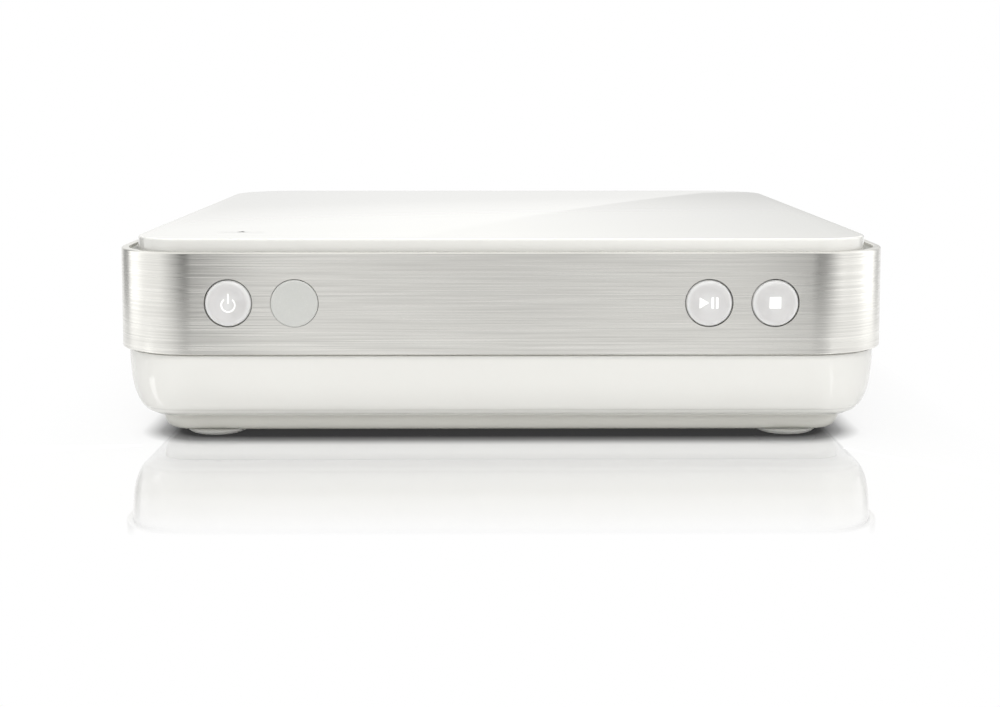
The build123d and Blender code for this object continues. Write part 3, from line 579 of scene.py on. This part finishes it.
def makeLid(s):
    low = s["skirtBottom"]
    profile = [(s["skirt"], s["under"])]
    profile += arc((s["skirt"] - s["edgeInside"], low + s["edgeInside"]), s["edgeInside"], 0, -90, 4)
    profile += arc((s["edgeInside"], low + s["edgeInside"]), s["edgeInside"], -90, -180, 4)
    profile += arc((s["edge"], s["top"] - s["edge"]), s["edge"], 180, 90, 14)
    loops = [(lidLoop(inset), z) for inset, z in profile]
    piece = stackLoops("lidPlate", loops, materials["lid_gloss"], sharp=40)
    # the turned-down side has painted shade, greyer than the top, most so on the left
    layer = piece.data.attributes.new("shade", "FLOAT", "POINT")
    flatFrom = (s["top"] - s["edge"] * s["topShare"]) * mm
    for vertex, value in zip(piece.data.vertices, layer.data):
        aside = min(max((vertex.co.x - s["shadeFrom"]) / s["shadeSpan"], 0.0), 1.0)
        value.value = 0.0 if vertex.co.z > flatFrom else 1.0 - aside
    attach(piece, "lid")
    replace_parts(piece, "lid_cover")


lidMark = {"x": -86.0, "y": -98.0, "length": 15.0, "line": 0.35, "arrow": 1.7, "arrowFrom": 0.5, "arrowLong": 1.5,
           "height": 65.70, "thick": 0.06}


def makeLidMark(s):
    # a thin line and an arrowhead over the catch: press here to open
    half, x, y = s["length"] / 2, s["x"], s["y"]
    low, high, start = s["height"] - s["thick"], s["height"], s["y"] + s["arrowFrom"]
    line = boxVerts(x - half, x + half, y - s["line"] / 2, y + s["line"] / 2, low, high)
    corners = [(x - s["arrow"], start), (x + s["arrow"], start), (x, start + s["arrow"] * s["arrowLong"])]
    verts = [(*corner, z) for z in (low, high) for corner in corners]
    arrow = (verts, [(0, 2, 1), (3, 4, 5), (0, 1, 4, 3), (1, 2, 5, 4), (2, 0, 3, 5)])
    parts = [newPiece(name, *shape, markMaterial) for name, shape in (("line", line), ("arrow", arrow))]
    piece = joined("lidMark", parts, markMaterial)
    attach(piece, "lid")


makeLid(lid)
makeLidMark(lidMark)
print("lid done")


# bowl and pan: smooth rows of rounded squares
bowl = {"rows": ((31.0, 2.1, 25.0), (24.0, 2.4, 24.0), (17.0, 3.5, 21.5), (12.0, 5.6, 17.5), (9.0, 8.2, 13.5),
                 (7.6, 11.0, 10.5)),
        "rim": ((4.4, 22.8, 31.0), (2.55, 24.6, 31.0), (2.55, 24.6, 29.25)), "half": 125.0, "rimZ": 29.2, "wall": 2.2,
        "bottom": 7.6, "floorIn": 6, "floorRadius": 8.0, "creaseZ": 10.2, "creaseShare": 0.04, "creaseDepth": 0.7,
        "lipDepth": 0.3, "lipRadius": 0.5, "grooveZ": 28.55, "grooveDepth": 0.9}
pan = {"rows": ((7.6, 111.4, 9.5), (5.4, 111.2, 9.3), (3.6, 110.5, 8.8), (2.35, 109.3, 8.2), (1.8, 107.7, 7.4)),
       "rim": ((0.35, 9.2, 0.0), (0.1, 9.4, 0.1)), "rimZ": 7.6, "pocket": (90.0, 104.0, 1.0, 4.3),
       "screws": ((-98, -60), (-98, 60), (98, -60), (98, 60)), "sink": 3.6, "sinkTop": 5.0, "hole": 1.8,
       "holeFrom": 4.5}
vents = {"xs": range(-54, 60, 9), "ys": (-58, 72), "halfWidth": 1.5, "halfLength": 14.0}


def ventCutters(top, s=vents):
    wide, long = s["halfWidth"], s["halfLength"]
    places = [(x, y) for x in s["xs"] for y in s["ys"]]
    slots = [newPiece("slot", *boxVerts(x - wide, x + wide, y - long, y + long, 0, top), steel)
             for x, y in places]
    return joined("slots", slots, steel)


def makeBowl(s):
    half, wall = s["half"], s["wall"]
    table = smoothRow(s["rows"], 90)
    inner = [(z + wall, inset + wall, max(radius - wall, 1.0)) for z, inset, radius in table
             if z + wall < s["rimZ"] + 1]
    loops = [(squareLoop(half - inner[-1][1] - s["floorIn"], s["floorRadius"]), inner[-1][0])]
    loops += [(squareLoop(half - inset, radius), z) for z, inset, radius in reversed(inner[::3])]
    loops += [(squareLoop(half - inset, radius), z) for inset, radius, z in s["rim"]]
    for z, inset, radius in table:
        if z > s["rimZ"]:
            continue
        lip = 0.0
        if z < s["creaseZ"]:
            # the lower edge is a separate small roll below a fine crease
            depth = (s["creaseZ"] - z) / (s["creaseZ"] - s["bottom"])
            lip = s["lipDepth"] * ((1 - depth) ** 2 if depth > s["creaseShare"] else s["creaseDepth"])
        if z > s["grooveZ"]:
            lip = s["grooveDepth"]
        loops.append((squareLoop(half - inset - lip, radius - lip * s["lipRadius"]), z))
    piece = stackLoops("bowlShell", loops, materials["shell_gloss"], sharp=50)
    carve(piece, [ventCutters(14), drums(pan["screws"], pan["hole"], 0, 14)], 50)
    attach(piece, "case")
    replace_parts(piece, "lower_shell")


def makePan(s):
    table = smoothRow(s["rows"], 28)
    halfX, halfY, corner, floor = s["pocket"]
    loops = [(roundedLoop(halfX, -halfY, halfY, corner, corner), z) for z in (floor, s["rimZ"])]
    loops += [(squareLoop(table[0][1] - inset, radius), s["rimZ"] - drop) for inset, radius, drop in s["rim"]]
    loops += [(squareLoop(half, radius), z) for z, half, radius in table[1:]]
    piece = stackLoops("basePan", loops, materials["pan_plastic"], sharp=35)
    sinks = drums(s["screws"], s["sink"], 0, s["sinkTop"])
    holes = drums(s["screws"], s["hole"], s["holeFrom"], 10)
    carve(piece, [ventCutters(12), sinks, holes], 35)
    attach(piece, "case")
    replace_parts(piece, "base_pan")


makeBowl(bowl)
makePan(pan)
print("bowl and pan done")


# keys: dished caps in the band, each with its lit sign
key = {"z": 45.6, "powerX": -86.3, "playX": 65.4, "stopX": 86.3, "radius": 7.38, "flange": 8.4, "set": (-0.02, -0.12),
       "flangeY": (-122.3, -121.5)}
capRows = ((0.0, -124.70), (1.5, -124.75), (2.8, -124.90), (4.2, -125.16), (5.3, -125.40), (5.9, -125.44),
           (6.4, -125.34), (6.95, -125.10), (7.28, -124.65), (7.38, -124.1))


def dish(radius):
    # depth of the cap's face at a radius
    for (r0, y0), (r1, y1) in zip(capRows, capRows[1:]):
        if radius <= r1:
            return y0 + (y1 - y0) * (radius - r0) / (r1 - r0)
    return capRows[-1][1]


def flanged(name, face, s, material, x, z):
    # a turned face with its flange behind the band
    front, back = s["flangeY"]
    profile = [*face, (s["radius"], front), (s["flange"], front), (s["flange"], back), (0, back)]
    return turned(name, profile, material, (x, 0, z), "Y", 128)


def makeKey(name, x, body, s=key):
    face = smoothRow(capRows[:7], 40) + list(capRows[7:])
    piece = flanged(name, face, s, materials["button_plastic"], x + s["set"][0], s["z"] + s["set"][1])
    layer = piece.data.attributes.new("radial", "FLOAT", "POINT")
    for vertex, value in zip(piece.data.vertices, layer.data):
        off = math.hypot(vertex.co.x - x * mm, vertex.co.z - s["z"] * mm)
        value.value = min(off / (s["radius"] * mm), 1.0)
    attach(piece, body)
    return piece


def sheetOnDish(rows, columns, place, x, lifts=(0.035, -0.05)):
    # a thin patch that follows the cap's face; place gives (across, up) for (u, v) from 0 to 1
    verts, faces = [], []
    for lift in lifts:
        for i in range(rows + 1):
            for j in range(columns + 1):
                across, up = place(j / columns, i / rows)
                verts.append((x + across, dish(math.hypot(across, up)) - lift, key["z"] + up))
    wide = columns + 1
    count = (rows + 1) * wide
    for i in range(rows):
        for j in range(columns):
            a = i * wide + j
            faces.append((a, a + 1, a + wide + 1, a + wide))
            faces.append((count + a, count + a + wide, count + a + wide + 1, count + a + 1))
    edge = [*range(wide), *range(2 * wide - 1, count, wide)]
    edge += [*range(count - 2, rows * wide - 1, -1), *range((rows - 1) * wide, 0, -wide)]
    for a, b in zip(edge, edge[1:] + edge[:1]):
        faces.append((b, a, count + a, count + b))
    return newPiece("patch", verts, faces, signMaterial, 40)


def block(x0, x1, z0, z1):
    return lambda u, v: (x0 + (x1 - x0) * u, z0 + (z1 - z0) * v)


def wedge(x0, x1, z0, z1, taper=0.98):
    # a triangle that points to x1, cut a hair short of its tip
    middle = (z0 + z1) / 2
    return lambda u, v: (x0 + (x1 - x0) * u, middle + (z0 + (z1 - z0) * v - middle) * (1 - u * taper))


sign = {"ring": (1.92, 2.34), "ringGap": 38.0, "ringDrop": -0.6, "bar": (-0.23, 0.23, -0.1, 3.0),
        "play": (-3.05, -0.15, -1.75, 1.75), "pauseBars": ((0.75, 1.45), (2.15, 2.85)),
        "stop": (-1.8, 1.8, -1.75, 1.85)}


def makeSigns(s):
    inner, outer = s["ring"]
    gap = math.radians(s["ringGap"])

    def ring(u, v):
        angle = math.pi / 2 + gap + (2 * math.pi - 2 * gap) * u
        radius = inner + (outer - inner) * v
        return radius * math.cos(angle), radius * math.sin(angle) + s["ringDrop"]

    power = [sheetOnDish(3, 72, ring, key["powerX"]), sheetOnDish(12, 3, block(*s["bar"]), key["powerX"])]
    play = [sheetOnDish(10, 10, wedge(*s["play"]), key["playX"])]
    play += [sheetOnDish(10, 3, block(x0, x1, *s["play"][2:]), key["playX"]) for x0, x1 in s["pauseBars"]]
    stop = [sheetOnDish(10, 10, block(*s["stop"]), key["stopX"])]
    for name, parts, body in (("powerSign", power, "power_key"), ("playPauseSign", play, "play_key"),
                              ("stopSign", stop, "stop_key")):
        piece = joined(name, parts, signMaterial, 40)
        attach(piece, body)


for name in ("power", "play", "stop"):
    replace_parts(makeKey(name + "Cap", key[name + "X"], name + "_key"), name + "_button")
makeSigns(sign)

window = {"x": -65.47, "z": 45.48, "radius": 7.53, "flange": 8.6, "flangeY": (-122.4, -121.4),
          "face": ((0, -124.62), (2.0, -124.66), (3.8, -124.76), (5.4, -124.9), (6.6, -125.0), (7.0, -125.0),
                   (7.28, -124.97), (7.45, -124.88), (7.53, -124.7))}


def makeWindow(s):
    piece = flanged("receiverWindow", s["face"], s, materials["window_plastic"], s["x"], s["z"])
    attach(piece, "case")
    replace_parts(piece, "ir_window")


makeWindow(window)
print("keys and window done")


# repeated parts, placed by Geometry Nodes
def copiesTree(name):
    # instances of one part on every point of the object, made real and given its material
    tree = bpy.data.node_groups.new(name, "GeometryNodeTree")
    tree.interface.new_socket("Geometry", in_out="INPUT", socket_type="NodeSocketGeometry")
    sockets = {}
    for label, kind in (("Part", "Object"), ("Size", "Float"), ("Turn", "Float"), ("Material", "Material")):
        made = tree.interface.new_socket(label, in_out="INPUT", socket_type="NodeSocket" + kind)
        sockets[label] = made.identifier
    tree.interface.new_socket("Geometry", in_out="OUTPUT", socket_type="NodeSocketGeometry")
    start, end = tree.nodes.new("NodeGroupInput").outputs, tree.nodes.new("NodeGroupOutput")
    part = addNode(tree, "GeometryNodeObjectInfo", {"Object": start["Part"]}).outputs["Geometry"]
    turn = addNode(tree, "CombineXYZ", {"Z": start["Turn"]}).outputs[0]
    inputs = {"Points": start["Geometry"], "Instance": part, "Rotation": turn, "Scale": start["Size"]}
    onPoints = addNode(tree, "GeometryNodeInstanceOnPoints", inputs).outputs[0]
    real = addNode(tree, "GeometryNodeRealizeInstances", {"Geometry": onPoints}).outputs[0]
    painted = addNode(tree, "GeometryNodeSetMaterial", {"Geometry": real, "Material": start["Material"]})
    tree.links.new(painted.outputs[0], end.inputs[0])
    return tree, sockets


partCopies, copySockets = copiesTree("partCopies")


def repeat(name, part, places, material, size=1.0, turn=0.0, sharp=30):
    # part is made at the origin; it is used up
    mesh = bpy.data.meshes.new(name)
    mesh.from_pydata([Vector(place) * mm for place in places], [], [])
    piece = addObject(name, mesh)
    made = piece.modifiers.new("copies", "NODES")
    made.node_group = partCopies
    for label, value in (("Part", part), ("Size", size), ("Turn", turn), ("Material", material)):
        made[copySockets[label]] = value
    bake(piece)
    bpy.data.objects.remove(part)
    if not piece.data.materials:
        piece.data.materials.append(material)
    shade(piece, sharp)
    return piece


foot = {"xs": (-93.6, 93.6), "ys": (-102.0, 86.0), "rows": ((0.0, 6.2), (0.55, 8.6), (1.4, 10.0), (2.1, 10.4))}


def makeFeet(s):
    side = [(radius, z) for z, radius in smoothRow(s["rows"], 14)]
    unit = turned("foot", [(0, 0), *side, (0, side[-1][1])], materials["foot_rubber"], steps=72, sharp=60)
    places = [(x, y, 0) for x in s["xs"] for y in s["ys"]]
    piece = repeat("rubberFeet", unit, places, materials["foot_rubber"], sharp=60)
    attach(piece, "case")
    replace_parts(piece, "feet")


screw = {"head": 2.9, "headThick": 1.2, "headEdge": 0.4, "shank": 1.5, "tip": 0.3, "taper": 1.0,
         "slot": 0.42, "slotReach": 1.45, "slotDepth": 0.8, "length": 11.0, "z": 57.0, "turn": 0.4}
caseScrew = dict(screw, head=3.2, headThick=1.6, length=39.8, z=3.4, turn=0.9)


def crossHead(s, up):
    # a pan head with a cross recess; the head's top is at height 0
    head, shank, thick, edge = s["head"], s["shank"], s["headThick"], s["headEdge"]
    profile = [(0, -s["length"]), (shank * s["tip"], -s["length"]), (shank, -s["length"] + s["taper"]),
               (shank, -thick), (head, -thick), *arc((head - edge, -edge), edge, 0, 90, 5), (0, 0)]
    piece = turned("screw", profile, steel, steps=48)
    reach, half = s["slotReach"], s["slot"] / 2
    carve(piece, [newPiece("cross", *boxVerts(-x, x, -y, y, -s["slotDepth"], 1.0), steel)
                  for x, y in ((reach, half), (half, reach))])
    if not up:
        for vertex in piece.data.vertices:
            vertex.co = (vertex.co.x, -vertex.co.y, -vertex.co.z)
    return piece


def screwRow(name, s, up):
    places = [(x, y, s["z"]) for x, y in pan["screws"]]
    return repeat(name, crossHead(s, up), places, steel, turn=s["turn"])


def makeScrews():
    deck = screwRow("deckScrews", screw, up=True)
    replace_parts(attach(deck, "case"), "deck_screws")
    case = screwRow("caseScrews", caseScrew, up=False)
    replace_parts(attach(case, "case"), "case_screws")


makeFeet(foot)
makeScrews()
print("feet and screws done")


# smooth skins for the turned and moulded parts inside
skins = {
    "case": {"disc_deck": 0.25, "disc_tray": 0.25, "catch_housing": 0.0, "guide_rods": 0.1, "spindle_motor": 0.0,
             "sled_motor": 0.1, "mech_chassis": 0.0, "lid_bumpers": 0.0, "hinge_pins": 0.1, "band_carrier": 0.0,
             "rear_panel": 0.15, "scart_socket": 0.1, "jack_sleeves": 0.0, "video_jack": 0.0, "left_jack": 0.0,
             "right_jack": 0.0, "coaxial_jack": 0.0, "mains_inlet": 0.15, "capacitors": 0.4, "lid_switch": 0.15},
    "lid": {"lid_liner": 0.15, "disc_retainer": 0.2, "switch_flag": 0.15, "striker_plate": 0.1},
    "spindle": {"turntable": 0.0, "platter_ring": 0.0},
    "catch": {"catch_plunger": 0.0},
    "sled": {"lens": 0.0, "lens_holder": 0.1, "pickup_sled": 0.15},
    "screw": {"lead_screw": 0.1},
}
for body, bevels in skins.items():
    for node, bevel in bevels.items():
        piece = smoothCopy(node, materials[nodeSlots[node]], body, bevel)
print("skins done:", sum(len(bevels) for bevels in skins.values()))


# floor, light and camera
floorSet = {"reach": 30.0, "bounce": 0.80, "shown": 0.90, "blur": 0.03, "halves": {"X": 0.1038, "Y": 0.1082},
            "corner": 0.0095, "span": 0.2,
            "polish": ((0.0, 0.0), (0.006, 0.10), (0.016, 0.40), (0.035, 0.44), (0.055, 0.6), (0.075, 0.72),
                       (0.098, 0.45), (0.12, 0.0), (0.2, 0.0)),
            # painted contact shadow: how dark the floor is drawn at each distance from the footprint
            "contact": ((0.0, 0.045), (0.0026, 0.05), (0.0087, 0.26), (0.0125, 0.66), (0.0155, 0.97), (0.019, 1.0),
                        (0.2, 1.0)),
            "plainSpan": (0.0, 0.06), "plainLeast": 0.82, "sideSpan": (0.011, 0.065)}


def stagePiece(name, verts, faces, material, mirrorsOnly=True):
    # a flat piece of the studio
    mesh = bpy.data.meshes.new(name)
    mesh.from_pydata(verts, [], faces)
    mesh.materials.append(material)
    piece = addObject(name, mesh)
    if mirrorsOnly:
        for ray in ("camera", "diffuse", "shadow", "transmission"):
            setattr(piece, "visible_" + ray, False)
    return mesh


def makeFloor(s):
    material, tree = startMaterial("floorWhite", plain=True)
    # distance from the rounded square on which the player stands
    place = addNode(tree, "SeparateXYZ", {0: objectPlace(tree)})
    past = []
    for axis, half in s["halves"].items():
        side = calc(tree, "ABSOLUTE", place.outputs[axis])
        past.append(calc(tree, "MAXIMUM", calc(tree, "SUBTRACT", side, half - s["corner"])))
    out = addNode(tree, "CombineXYZ", {"X": past[0], "Y": past[1]}).outputs[0]
    length = addNode(tree, "VectorMath", {0: out}, operation="LENGTH").outputs["Value"]
    away = calc(tree, "SUBTRACT", length, s["corner"])
    share = calc(tree, "DIVIDE", away, s["span"], clamp=True)
    # white to the camera and to mirrors, darkened there by a painted contact shadow next to the player; a plain pale
    # surface to the light that it throws back
    ray = addNode(tree, "LightPath").outputs
    seen = calc(tree, "ADD", ray["Is Camera Ray"], ray["Is Glossy Ray"])
    both = calc(tree, "ADD", seen, ray["Is Transmission Ray"], clamp=True)
    # painted contact shadow next to the footprint, for camera and mirror rays only
    contact = toned(tree, share, [(x / s["span"], value) for x, value in s["contact"]])
    paintedShadow = between(tree, both, 1.0, contact)
    shaded = calc(tree, "MULTIPLY", between(tree, both, s["bounce"], s["shown"]), paintedShadow)
    colour = addNode(tree, "CombineColor", {0: shaded, 1: shaded, 2: shaded}).outputs[0]
    lit = addNode(tree, "BsdfDiffuse", {"Color": colour}).outputs[0]
    plain = addNode(tree, "Emission", {"Strength": paintedShadow}).outputs[0]
    far = ranged(tree, away, s["plainSpan"], (s["plainLeast"], 1.0), interpolation_type="SMOOTHSTEP")
    paint = addNode(tree, "MixShader", {0: calc(tree, "MULTIPLY", far, both), 1: lit, 2: plain}).outputs[0]
    gloss = addNode(tree, "BsdfGlossy", {"Color": (1, 1, 1, 1), "Roughness": s["blur"]}).outputs[0]
    # the polish shows next to the player and fades away from it; far off the floor is plain white
    shine = toned(tree, share, [(x / s["span"], value) for x, value in s["polish"]])
    polished = calc(tree, "MULTIPLY", shine, ranged(tree, past[0], s["sideSpan"], (1.0, 0.0)))
    near = addNode(tree, "MixShader", {0: polished, 1: paint, 2: gloss}).outputs[0]
    addNode(tree, "OutputMaterial", {"Surface": near})
    reach = s["reach"]
    corners = [(-reach, -reach, 0), (reach, -reach, 0), (reach, reach, 0), (-reach, reach, 0)]
    stagePiece("floor", corners, [(0, 1, 2, 3)], material, mirrorsOnly=False)


makeFloor(floorSet)

room = {"around": ((0, 0.78), (12, 0.78), (25, 0.62), (32, 0.60), (45, 0.80), (60, 1.0), (75, 1.16), (92, 1.42),
                   (112, 1.55), (121, 0.62), (134, 0.45), (145, 0.85), (155, 1.0), (180, 1.0)),
        "zenith": 1.2, "zenithSpan": (0.25, 0.6), "horizon": 0.86, "horizonSpan": (0.05, 0.09),
        "slant": 0.488, "edgeSpan": (0.1017, 0.1030), "topSpan": (0.14, 0.22), "behindSpan": (0.5, 0.8),
        "rightSpan": (0.0, 0.25), "rightDepth": (0.04, 0.36), "leftSpan": (-0.06, -0.25), "leftDepth": (0.0, 0.09),
        "fill": (0.22, 0.70), "fillSpan": (0.0, 0.5), "tint": (1, 1, 0.99, 1), "seen": 1.0}


def makeWorld(s):
    # plain white all round; mirrors see a studio that is darker in front and bright at the sides
    world = bpy.data.worlds.new("studio")
    bpy.context.scene.world = world
    world.use_nodes = True
    tree = world.node_tree
    tree.nodes.clear()
    ray = addNode(tree, "LightPath").outputs
    way = addNode(tree, "SeparateXYZ", {0: addNode(tree, "TexCoord").outputs["Generated"]})
    x, y, z = (way.outputs[axis] for axis in "XYZ")
    angle = calc(tree, "ARCTAN2", calc(tree, "ABSOLUTE", x), calc(tree, "MULTIPLY", y, -1.0))
    points = [(degrees / 180, value) for degrees, value in s["around"]]
    around = toned(tree, calc(tree, "DIVIDE", angle, math.pi), points, 2.0)
    # straight up it is white again
    upper = between(tree, ranged(tree, z, s["zenithSpan"]), around, s["zenith"])
    low = ranged(tree, z, s["horizonSpan"], (s["horizon"], 1.0))
    # a slanting edge stands behind the player, right of the middle, and its shade deepens to the right
    line = calc(tree, "ADD", z, calc(tree, "MULTIPLY", x, s["slant"]))
    top = ranged(tree, z, s["topSpan"], (1.0, 0.0))
    right = calc(tree, "MULTIPLY", ranged(tree, line, s["edgeSpan"]), top)
    right = calc(tree, "MULTIPLY", right, ranged(tree, y, s["behindSpan"]))
    right = calc(tree, "MULTIPLY", right, ranged(tree, x, s["rightSpan"], s["rightDepth"]))
    left = calc(tree, "MULTIPLY", ranged(tree, x, s["leftSpan"], s["leftDepth"]), top)
    shadeOff = calc(tree, "SUBTRACT", 1.0, calc(tree, "ADD", right, left))
    mirror = calc(tree, "MULTIPLY", calc(tree, "MULTIPLY", upper, low), shadeOff)
    fill = ranged(tree, z, s["fillSpan"], s["fill"])
    plain, white, studio = (
        addNode(tree, "Background", {"Color": colour, "Strength": strength}).outputs[0]
        for colour, strength in (((1, 1, 1, 1), fill), ((1, 1, 1, 1), s["seen"]), (s["tint"], mirror)))
    reflected = addNode(tree, "MixShader", {0: ray["Is Glossy Ray"], 1: plain, 2: studio}).outputs[0]
    direct = calc(tree, "ADD", ray["Is Camera Ray"], ray["Is Transmission Ray"], clamp=True)
    final = addNode(tree, "MixShader", {0: direct, 1: reflected, 2: white}).outputs[0]
    addNode(tree, "OutputWorld", {"Surface": final})


makeWorld(room)

lamps = {
    "overhead": {"at": (0.0, 0.05, 1.6), "aim": (0, 0, 0.03), "size": 1.8, "power": 8.7},
    "frontSoft": {"at": (0.12, -1.6, 1.05), "aim": (0, 0, 0.03), "size": 1.0, "power": 12.5},
}


def makeLamps(table):
    for name, s in table.items():
        data = bpy.data.lights.new(name, "AREA")
        data.shape = "DISK"
        data.size = s["size"]
        data.energy = s["power"]
        lamp = addObject(name, data)
        lamp.location = s["at"]
        lamp.rotation_euler = (Vector(s["aim"]) - Vector(s["at"])).to_track_quat("-Z", "Y").to_euler()
        lamp.visible_glossy = False


makeLamps(lamps)

boards = {
    "front": {"from": (-0.42, -0.295), "to": (0.42, -0.295), "height": 0.42,
              "across": ((0.0, 1.12), (0.06, 1.0), (0.125, 0.80), (0.20, 0.46), (0.248, 0.09), (0.278, 0.09),
                         (0.295, 0.60), (0.32, 0.84), (0.42, 0.665), (0.532, 0.76), (0.552, 0.60), (0.568, 0.20),
                         (0.616, 0.20), (0.665, 0.52), (0.72, 0.90), (0.78, 1.14), (0.84, 1.2))},
    "left": {"from": (-0.33, -0.22), "to": (-0.33, 0.20), "height": 0.25,
             "across": ((0.0, 1.0), (0.09, 1.1), (0.13, 1.5), (0.20, 1.5), (0.235, 0.32), (0.33, 0.32),
                        (0.42, 0.9))},
    "right": {"from": (0.33, -0.22), "to": (0.33, 0.20), "height": 0.25,
              "across": ((0.0, 1.0), (0.09, 1.2), (0.13, 1.6), (0.215, 1.6), (0.25, 0.7), (0.33, 0.55),
                         (0.42, 1.0))},
}


def makeBoard(name, s):
    # an upright board whose shade changes along it, seen only in reflections
    (x0, y0), (x1, y1) = s["from"], s["to"]
    reach = math.dist(s["from"], s["to"])
    material, tree = startMaterial(name + "BoardGrey", plain=True)
    place = addNode(tree, "SeparateXYZ", {0: addNode(tree, "UVMap", uv_map="along").outputs[0]})
    tone = toned(tree, place.outputs["X"], [(x / reach, value) for x, value in s["across"]], 2.0)
    glow = addNode(tree, "Emission", {"Strength": tone}).outputs[0]
    addNode(tree, "OutputMaterial", {"Surface": glow})
    corners = [(x0, y0, 0), (x1, y1, 0), (x1, y1, s["height"]), (x0, y0, s["height"])]
    mesh = stagePiece(name + "Board", corners, [(0, 1, 2, 3)], material)
    layer = mesh.uv_layers.new(name="along")
    for corner, value in zip(layer.data, ((0, 0), (1, 0), (1, 1), (0, 1))):
        corner.uv = value


for boardName, boardSet in boards.items():
    makeBoard(boardName, boardSet)

glints = {"strength": 2.6, "height": 0.0012, "near": 0.004, "far": 0.075,
          "places": ((-0.112, -0.118, -74, -88), (0.106, -0.1205, 40, 45))}


def makeGlints(s):
    # two lit wedges low beside the front corners, seen only in reflections
    material, tree = startMaterial("glintWhite", plain=True)
    glow = addNode(tree, "Emission", {"Strength": s["strength"]}).outputs[0]
    addNode(tree, "OutputMaterial", {"Surface": glow})
    verts, faces = [], []
    for x, y, first, last in s["places"]:
        start = len(verts)
        for turn, reach in ((first, s["near"]), (first, s["far"]), (last, s["far"]), (last, s["near"])):
            angle = math.radians(turn)
            verts.append((x + reach * math.sin(angle), y - reach * math.cos(angle), s["height"]))
        faces.append((start, start + 1, start + 2, start + 3))
    stagePiece("floorGlints", verts, faces, material)


makeGlints(glints)

view = {"at": (-0.00317, -0.6297, 0.113), "lens": 58.10, "sensor": 36.0, "near": 0.01, "pitch": 4.8, "yaw": 0.29,
        "shift": -0.1294}


def makeCamera(s):
    data = bpy.data.cameras.new("camera")
    data.lens = s["lens"]
    data.sensor_width = s["sensor"]
    data.sensor_fit = "HORIZONTAL"
    data.shift_y = s["shift"]
    data.clip_start = s["near"]
    camera = addObject("camera", data)
    camera.location = s["at"]
    camera.rotation_euler = Euler((math.radians(90 - s["pitch"]), 0, math.radians(-s["yaw"])))
    bpy.context.scene.camera = camera


makeCamera(view)
bpy.context.scene.view_settings.view_transform = "Standard"
print("floor, lamps and camera done")
